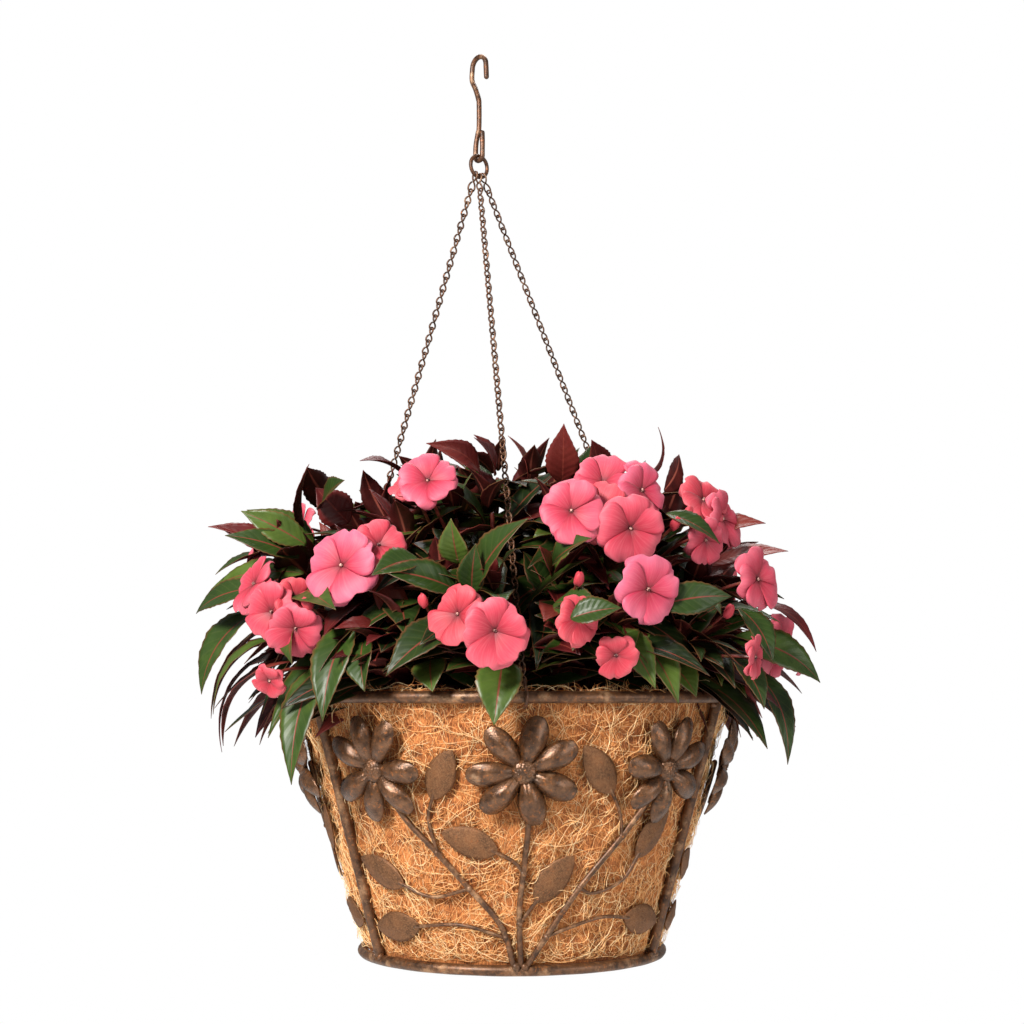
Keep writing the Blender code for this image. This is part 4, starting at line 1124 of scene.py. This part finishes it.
# The leaves that show most: base and tip as (azimuth, height, reach), width, bow, facing
# azimuth, 1 where young and maroon
SHOWN_LEAVES = [
    ((-11, 0.088, 0.205), (0.0, 0.138, 0.252), 0.036, 0.10, -20, 0),
    ((-4.5, 0.030, 0.205), (-6.0, -0.022, 0.236), 0.038, 0.10, 0, 0),
    ((-42, 0.063, 0.205), (-40, -0.020, 0.250), 0.036, 0.12, -30, 0),
    ((-50, 0.030, 0.215), (-46, -0.070, 0.258), 0.034, 0.12, -30, 0),
    ((-80, 0.078, 0.225), (-82, 0.002, 0.278), 0.042, 0.16, -60, 0),
    ((-67, 0.052, 0.220), (-73, -0.015, 0.272), 0.026, 0.18, -70, 0),
    ((-60, 0.030, 0.220), (-74, -0.042, 0.262), 0.020, 0.20, -90, 1),
    ((-84, 0.123, 0.195), (-83, 0.152, 0.268), 0.028, 0.06, -60, 1),
    ((-80, 0.136, 0.180), (-79, 0.165, 0.242), 0.028, 0.10, -60, 0),
    ((-82, 0.092, 0.210), (-84, 0.076, 0.280), 0.026, 0.10, -60, 0),
    ((-66, 0.106, 0.200), (-80, 0.094, 0.272), 0.028, 0.14, -40, 0),
    ((57, 0.050, 0.215), (67, 0.012, 0.282), 0.036, 0.16, 30, 0),
    ((60, 0.028, 0.220), (56, -0.056, 0.266), 0.024, 0.18, 40, 0),
    ((57, 0.112, 0.195), (57, 0.122, 0.268), 0.026, 0.08, 30, 1),
    ((64, 0.080, 0.215), (64, 0.038, 0.282), 0.018, 0.20, 60, 1),
    ((55, 0.134, 0.185), (56, 0.146, 0.250), 0.026, 0.12, 30, 1),
    ((16, 0.180, 0.130), (12, 0.226, 0.166), 0.030, 0.05, 0, 1),
    ((27, 0.180, 0.140), (19, 0.212, 0.176), 0.030, 0.08, 10, 1),
    ((40, 0.186, 0.155), (35, 0.224, 0.198), 0.014, 0.22, 30, 1),
    ((-14, 0.186, 0.140), (-24, 0.206, 0.196), 0.022, 0.14, -20, 1),
    ((-9, 0.188, 0.120), (-13, 0.214, 0.166), 0.022, 0.10, -20, 1),
    ((-15, 0.084, 0.205), (-28, 0.099, 0.248), 0.030, 0.10, -20, 0),
    ((-15, 0.058, 0.205), (-26, 0.016, 0.252), 0.036, 0.12, -20, 0),
    ((25, 0.052, 0.205), (29, -0.006, 0.248), 0.034, 0.12, 20, 0),
    ((19, 0.055, 0.205), (24, 0.006, 0.248), 0.032, 0.12, 20, 0),
    ((6, 0.074, 0.212), (13, 0.066, 0.252), 0.030, 0.10, 10, 0),
    ((-80, 0.166, 0.160), (-62, 0.197, 0.206), 0.028, 0.06, -40, 1),
    ((-62, 0.150, 0.165), (-63, 0.180, 0.196), 0.034, 0.04, -40, 1),
    ((-45, 0.190, 0.140), (-46, 0.198, 0.188), 0.018, 0.10, -40, 1),
    ((60, 0.180, 0.150), (47, 0.206, 0.186), 0.026, 0.08, 30, 1),
    ((-15, 0.106, 0.205), (-15, 0.140, 0.232), 0.026, 0.06, -15, 0),
    ((-12, 0.082, 0.205), (-10, 0.120, 0.232), 0.024, 0.06, -10, 0),
    ((-37, 0.046, 0.215), (-32, 0.004, 0.240), 0.030, 0.10, -30, 0),
    ((6, 0.106, 0.205), (12, 0.124, 0.242), 0.026, 0.08, 10, 0),
    ((39, 0.079, 0.220), (38, 0.066, 0.256), 0.024, 0.10, 35, 0),
    ((34, 0.030, 0.205), (36, 0.000, 0.236), 0.030, 0.10, 30, 0),
    ((-22, 0.030, 0.200), (-19, 0.004, 0.226), 0.030, 0.10, -20, 0),
    ((32, 0.149, 0.218), (39, 0.123, 0.252), 0.021, 0.10, 25, 0),
    ((25, 0.071, 0.240), (39, 0.080, 0.264), 0.028, 0.10, 25, 0),
    ((48, 0.074, 0.240), (49, 0.028, 0.270), 0.028, 0.12, 35, 0),
    ((47, 0.033, 0.235), (47, -0.010, 0.267), 0.026, 0.12, 35, 0),
    ((7.0, 0.060, 0.256), (15, 0.068, 0.272), 0.024, 0.08, 5, 0),
    ((-63, 0.163, 0.190), (-46, 0.180, 0.205), 0.028, 0.05, -40, 0),
    ((-85, 0.136, 0.215), (-83, 0.151, 0.275), 0.024, 0.06, -60, 1),
    ((-65, 0.130, 0.200), (-69, 0.159, 0.255), 0.027, 0.08, -40, 0),
    ((-66, 0.119, 0.205), (-68, 0.137, 0.270), 0.026, 0.10, -40, 0),
    ((-80, 0.150, 0.190), (-57, 0.197, 0.213), 0.024, 0.05, -40, 1),
    ((-66, 0.093, 0.240), (-82, 0.073, 0.284), 0.026, 0.10, -50, 0),
    ((-23, 0.109, 0.215), (-29, 0.095, 0.252), 0.026, 0.10, -20, 0),
    ((-55, 0.089, 0.220), (-37, 0.069, 0.250), 0.030, 0.10, -40, 0),
    ((-85, 0.122, 0.200), (-76, 0.106, 0.270), 0.030, 0.12, -50, 0),
    ((-84, 0.086, 0.215), (-83, 0.094, 0.270), 0.028, 0.10, -50, 0),
    ((-59, 0.065, 0.215), (-47, 0.026, 0.255), 0.026, 0.12, -40, 0),
    ((-85, 0.105, 0.180), (-62, 0.075, 0.236), 0.036, 0.12, -40, 0),
    ((-72, 0.105, 0.190), (-60, 0.125, 0.232), 0.034, 0.08, -40, 1),
    ((-100, 0.070, 0.215), (-96, -0.020, 0.276), 0.030, 0.16, -80, 0),
    ((-98, 0.045, 0.215), (-92, -0.050, 0.262), 0.016, 0.20, -90, 1),
]

# Blooms: (azimuth, height, reach), width across, facing azimuth, facing lift, depth of colour, partly each bloom's
# own pale pink to coral-red and partly painted shade on blooms that sit in shade
SHOWN_BLOOMS = [
    ((-40.2, 0.106, 0.228), 0.061, -22, 12, 0.05),
    ((-34.6, 0.123, 0.208), 0.050, 8, 16, 0.70),
    ((-55.2, 0.070, 0.250), 0.052, -30, -4, 0.60),
    ((-65.4, 0.095, 0.246), 0.052, -58, 26, 0.55),
    ((-49.2, 0.056, 0.244), 0.046, -10, -24, 0.50),
    ((-82.0, 0.114, 0.236), 0.046, -84, 26, 0.60),
    ((-52.0, 0.082, 0.238), 0.036, 20, 10, 0.85),
    ((-54.3, 0.014, 0.254), 0.031, -30, -34, 0.75),
    ((-24.5, 0.176, 0.188), 0.049, -2, 26, 0.25),
    ((-32.0, 0.176, 0.172), 0.038, -30, 50, 0.80),
    ((-13.0, 0.064, 0.240), 0.048, -30, 4, 0.85),
    ((-5.2, 0.051, 0.252), 0.054, 2, -8, 0.60),
    ((9.0, 0.060, 0.244), 0.040, 30, 6, 0.85),
    ((6.0, 0.147, 0.218), 0.053, -6, 12, 0.30),
    ((18.6, 0.173, 0.200), 0.051, 4, 28, 0.40),
    ((26.6, 0.167, 0.212), 0.050, 34, 14, 0.10),
    ((16.5, 0.148, 0.210), 0.048, -12, 6, 0.80),
    ((21.1, 0.134, 0.230), 0.058, 14, -8, 0.55),
    ((22.1, 0.084, 0.250), 0.056, 24, -2, 0.00),
    ((47.7, 0.165, 0.208), 0.044, 30, 30, 0.80),
    ((50.2, 0.149, 0.220), 0.048, 50, 12, 0.45),
    ((41.1, 0.129, 0.228), 0.042, 34, -14, 0.50),
    ((50.4, 0.097, 0.252), 0.052, 40, 6, 0.40),
    ((16.0, 0.033, 0.248), 0.036, -6, -30, 0.80),
    ((44.9, 0.032, 0.264), 0.036, 60, -6, 0.70),
]
# Buds: (azimuth, height, reach)
BUDS = [
    (9.8, 0.092, 0.236),
    (41.1, 0.069, 0.252),
    (37.0, 0.150, 0.224),
    (33.0, 0.140, 0.226),
    (-46.0, 0.075, 0.244),
    (-20.0, 0.075, 0.238),
]
# Rings of shoots on a plant: how many, reach, height and its spread
SHOOT_RINGS = [
    (8, 0.188, 0.040, 0.010),
    (8, 0.172, 0.092, 0.012),
    (7, 0.132, 0.140, 0.010),
    (6, 0.072, 0.170, 0.008),
]
# Whorls of leaves on a shoot: how far below its head, how many, spread, length, width
WHORLS = [
    (0.0, 4, 24, 0.054, 0.021),
    (0.016, 5, 54, 0.084, 0.031),
    (0.036, 5, 76, 0.100, 0.036),
    (0.058, 4, 92, 0.096, 0.035),
]
# Blooms that stand elsewhere on each plant: how many, and between which azimuths
OTHER_BLOOMS = {"right": (4, 66, 110), "back": (9, 132, 228), "left": (4, 250, 274)}
draw = np.random.default_rng(42)


def five_petals(width, cup, seed):
    """A bloom facing +Z. Five petals of s outwards and t across: half width = 0.322 W
    sin(pi s / 1.44)^1.05, rounded after s = .70; outward reach L (s - .11 s^3 exp(-(t/.3)^2)
    - .17 s^2 t^2 (1 - .3 s)); the petal rises from a shallow cup, arches across, rolls back at
    its rim and ruffles, and each overlaps the next by tilting across. Returns its points, quads
    and petal map."""
    draw = np.random.default_rng(seed)
    s = np.concatenate([np.linspace(0, 0.75, 9), 1 - 0.25 * np.array([0.66, 0.36, 0.14, 0.02])])[:, None]
    t = np.linspace(-1, 1, 13)[None, :]
    body = np.sin(np.pi / 2 * np.minimum(s / 0.72, 1)) ** 1.05
    end = np.sqrt(np.clip(1 - (np.maximum(s - 0.70, 0) / 0.325) ** 2.4, 0, 1))
    points, maps, quads = [], [], []
    for number, (grow, lean) in enumerate(((1.0, 0), (0.96, 0), (1.06, 4), (1.06, -4), (0.96, 0))):
        long = width / 2 * grow * draw.normal(1, 0.07)
        half = 0.322 * width * grow * draw.normal(1, 0.05) * body * (0.22 + 0.78 * end)
        up = long * (s - 0.11 * s**3 * np.exp(-((t / 0.30) ** 2)) - 0.17 * s**2 * t**2 * (1 - 0.3 * s))
        ruffle = 0.014 * width * np.sin(2.4 * np.pi * t + draw.uniform(0, 6)) * s**2
        arch = width * (cup * s * (1 - draw.uniform(0.35, 0.75) * s) - 0.06 * s**4 - 0.08 * s * t**2)
        out = arch + ruffle + 0.060 * width * t * np.sqrt(s)
        a = np.radians(72 * number + lean + draw.normal(0, 5))
        grid = np.stack([half * t * np.cos(a) + up * np.sin(a), up * np.cos(a) - half * t * np.sin(a), out], -1)
        quads.append(lattice(*grid.shape[:2])[:, ::-1] + sum(len(p) for p in points))
        points.append(grid.reshape(-1, 3))
        maps.append(np.stack([s + 0 * t, 0 * s + (t + 1) / 2 + number], -1).reshape(-1, 2))
    return np.vstack(points), np.vstack(quads), np.vstack(maps)


def facing_frame(azimuth, lift, roll):
    """Right, up and out of a bloom that faces an azimuth and a lift over the level."""
    out = around(azimuth) * np.cos(np.radians(lift)) + UP * np.sin(np.radians(lift))
    right = unit(np.cross(UP, out))
    up = np.cross(out, right)
    a = np.radians(roll)
    return np.stack([right * np.cos(a) + up * np.sin(a), up * np.cos(a) - right * np.sin(a), out])


def within_limits(points):
    """How far each group moves back towards the basket's middle to stay within the reach,
    and down or up to stay within the heights, that the plants are given."""
    from_middle = points - MIDDLE
    level = from_middle * [1, 1, 0]
    reach = np.linalg.norm(level, axis=-1)
    far = reach.argmax(1)
    i = np.arange(len(points))
    back = -unit(level[i, far]) * np.maximum(0, reach[i, far] - REACH_LIMIT)[:, None]
    top = np.maximum(0, from_middle[..., 2].max(1) - HIGHEST)
    foot = np.maximum(0, LOWEST - from_middle[..., 2].min(1))
    return back + (foot - top)[:, None] * UP


def behind(points, blooms):
    """How far each group [group, point, xyz] moves back along a bloom's facing so that none of
    it stands before that bloom's disc."""
    total = np.zeros((len(points), 3))
    for place_at, wide, azimuth, lift, _ in blooms:
        ahead = facing_frame(azimuth, lift, 0)[2]
        from_bloom = points + total[:, None] - spot(*place_at)
        depth = from_bloom @ ahead
        off = np.linalg.norm(from_bloom - depth[..., None] * ahead, axis=-1)
        shown = (off < 0.5 * wide) & (depth > -0.006) & (depth < 0.06)
        total -= np.where(shown, depth + 0.006, 0).max(1)[:, None] * ahead
    return total


def leaf_piece(name, base, tip, facing, bow, width, tint_and_shade, young, grid, blooms=(), stands_for=()):
    """Leaves as one piece: green or maroon above and maroon beneath, kept in the plants'
    limits, behind the blooms and out of the chains' planes."""
    fold, twist = draw.uniform(0.10, 0.42, len(base)), draw.normal(0, 0.35, len(base))
    leaves, chart = blades(base, tip, facing, bow, width, fold, twist, *grid)
    leaves += behind(leaves, blooms)[:, None]
    leaves += within_limits(leaves)[:, None]
    leaves += kept_clear(leaves)[:, None]
    each = leaves.shape[1]
    quads = (lattice(*grid) + each * np.arange(len(leaves))[:, None, None]).reshape(-1, 4)
    maps = {"blade": chart, "tint_and_shade": np.repeat(tint_and_shade, each), "young": np.repeat(young, each)}
    part, looks = (leaves.reshape(-1, 3), quads), [LEAF_GREEN, LEAF_MAROON]
    thickened(piece(name, part, looks, "basket", stands_for, maps), BLADE_SHEET, 1)


for plant, (first, last) in SECTORS.items():
    shoots = []
    for count, reach, height, spread in SHOOT_RINGS:
        for azimuth in np.linspace(first + 6, last - 6, count) + draw.normal(0, 3, count):
            shoots.append((azimuth, height + draw.normal(0, spread), reach * draw.normal(1, 0.05)))
    shoots = np.array(shoots)
    heads = spot(*shoots.T)
    root = (first + last) / 2 + draw.normal(0, 26, len(shoots))
    feet = spot(root, -0.030, 0.085 + draw.normal(0, 0.022, len(shoots)))
    out = around(shoots[:, 0])
    rise = np.interp(shoots[:, 1], [0.02, 0.17], [0.25, 2.2])[:, None]
    aim = unit(out + rise * UP + draw.normal(0, 0.12, (len(shoots), 3)))
    bendy = bent(feet[:, None], (heads - aim * 0.07)[:, None], heads[:, None], 12)
    bendy += kept_clear(bendy)[:, None]
    wood = np.linspace(0.0042, 0.0018, 12)[None, :]
    stalks = [bars(bendy, wood, around(shoots[:, :1] + 90), 7, domes=(45,))]

    blooms = [bloom for bloom in SHOWN_BLOOMS if first <= (bloom[0][0] % 360) <= last]
    others, low, high = OTHER_BLOOMS[plant]
    for _ in range(others):
        azimuth, height = draw.uniform(low, high), draw.uniform(0.03, 0.18)
        place_at = azimuth, height, np.interp(height, [0.03, 0.18], [0.250, 0.180])
        wide, ahead = draw.uniform(0.046, 0.058), azimuth + draw.normal(0, 22)
        blooms.append((place_at, wide, ahead, draw.normal(14, 16), draw.uniform(0.1, 0.8)))
    base, tip, facing, width, bow, young = [], [], [], [], [], []
    for down, count, spread, long, wide in WHORLS:
        here = bendy[:, -1] - aim * down
        one = unit(np.cross(aim, UP + 0.01))
        two = np.cross(aim, one)
        for number in range(count):
            turn = 360 / count * number + 2000 * down + draw.uniform(-16, 16, len(shoots))
            turn = np.radians(turn + 31 * np.arange(len(shoots)))[:, None]
            angle = np.radians(spread + draw.normal(0, 8, len(shoots)))[:, None]
            side = one * np.cos(turn) + two * np.sin(turn)
            heading = aim * np.cos(angle) + side * np.sin(angle)
            size = long * draw.uniform(0.78, 1.12, len(shoots))[:, None]
            start = here + heading * 0.008
            droop = size * (0.10 + 0.30 * np.sin(angle)) * draw.uniform(0.4, 1.2, len(shoots))[:, None]
            end = start + heading * size - UP * droop
            keep = (side * out).sum(-1) > -0.75
            base.append(start[keep])
            tip.append(end[keep])
            above = UP + 0.35 * out + 0.5 * aim + draw.normal(0, 0.15, (len(shoots), 3))
            facing.append(above[keep])
            width.append(wide * draw.uniform(0.85, 1.12, keep.sum()))
            bow.append(draw.uniform(0.04, 0.15, keep.sum()))
            maroon_share = np.interp(down, [0, 0.02, 0.06], [0.50, 0.10, 0.05])
            young.append(draw.uniform(0, 1, keep.sum()) < maroon_share)
    grown = base, tip, facing, width, bow, young
    base, tip, facing, width, bow, young = (np.concatenate(v) for v in grown)
    over = tip - MIDDLE
    azimuth = np.degrees(np.arctan2(over[:, 0] + 0.006, -over[:, 1]))
    lowest = np.interp(np.abs(azimuth), [0, 36, 56, 180], [0.020, 0.014, -0.045, -0.055])
    tip[:, 2] = np.maximum(tip[:, 2], RIM_Z + lowest + draw.uniform(0, 0.02, len(tip)))
    # The filler leaves draw darker tints than the shown leaves: random tone, and painted shade for the dark inside
    # of the plants.
    tint_and_shade = draw.beta(1.4, 3.4, len(tip))
    grown = base, tip, facing, bow, width, tint_and_shade, young
    leaf_piece(f"leaves_{plant}", *grown, COMMON_GRID, blooms, [f"plant_{plant}"])
    own = [leaf for leaf in SHOWN_LEAVES if first <= (leaf[0][0] % 360) <= last]
    if own:
        starts, ends, width, bow, azimuth, young = (np.array(v) for v in zip(*own))
        ahead = around(azimuth) + 0.55 * UP
        tint_and_shade = draw.uniform(0.2, 0.7, len(own))
        placed = spot(*starts.T), spot(*ends.T), ahead, bow, width, tint_and_shade, young
        leaf_piece(f"near_leaves_{plant}", *placed, SHOWN_GRID)

    points, quads, maps, tints_and_shades, knobs, buds = [], [], [], [], [], []
    for number, (place_at, wide, azimuth, lift, colour_depth_and_shade) in enumerate(blooms):
        shape, faces, chart = five_petals(wide, 0.20 + 0.05 * (number % 3), 500 + 17 * number + first)
        axes = facing_frame(azimuth, lift, draw.uniform(-30, 30))
        centre = spot(*place_at)
        world = centre + shape @ axes
        moved = within_limits(world[None])[0]
        moved += kept_clear(world[None] + moved)[0]
        quads.append(faces + sum(len(p) for p in points))
        points.append(world + moved)
        maps.append(chart)
        tints_and_shades.append(np.full(len(world), colour_depth_and_shade))
        centre = centre + moved
        knobs.append(bead(centre + axes[2] * 0.035 * wide, 0.0015, number, (6, 8)))
        inward = unit(MIDDLE + [0, 0, 0.03] - centre)
        back = centre - axes[2] * 0.002
        line = bent(back, back - axes[2] * 0.028, back + inward * 0.075, 9)
        line += kept_clear(line[None])[0]
        stalks.append(bars([line], np.linspace(0.0013, 0.0017, 9)[None], axes[0], 6, domes=(45,)))
    for number, place_at in enumerate(bud for bud in BUDS if first <= (bud[0] % 360) <= last):
        centre = spot(*place_at)
        shape, *faces = bead([0, 0, 0], 0.0040, number, (10, 12))
        buds.append((centre + shape * [1, 1, 1.6] @ facing_frame(place_at[0], 55, 0), *faces))
        line = centre - np.linspace(0, 0.06, 9)[:, None] * (around(place_at[0]) + 0.6 * UP)
        stalks.append(bars([line], np.linspace(0.0011, 0.0015, 9)[None], UP, 6, domes=(45,)))
    part, chart = (np.vstack(points), np.vstack(quads)), {"petal": np.vstack(maps), "tint_and_shade": np.concatenate(tints_and_shades)}
    crown = piece(f"blooms_{plant}", part, PETAL_CORAL, "basket", maps=chart)
    thickened(crown, PETAL_THICK)
    if buds:
        closed = joined(*buds)
        count = len(closed[0])
        chart = {"petal": np.full((count, 2), 0.6), "tint_and_shade": np.full(count, 0.9)}
        piece(f"buds_{plant}", closed, PETAL_CORAL, "basket", maps=chart)
    piece(f"bloom_eyes_{plant}", joined(*knobs), EYE_WHITE, "basket")
    piece(f"stalks_{plant}", joined(*stalks), STEM_RED, "basket")

size = {"cad": CAD_BOX, "visual": [[float(n) for n in corner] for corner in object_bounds()]}
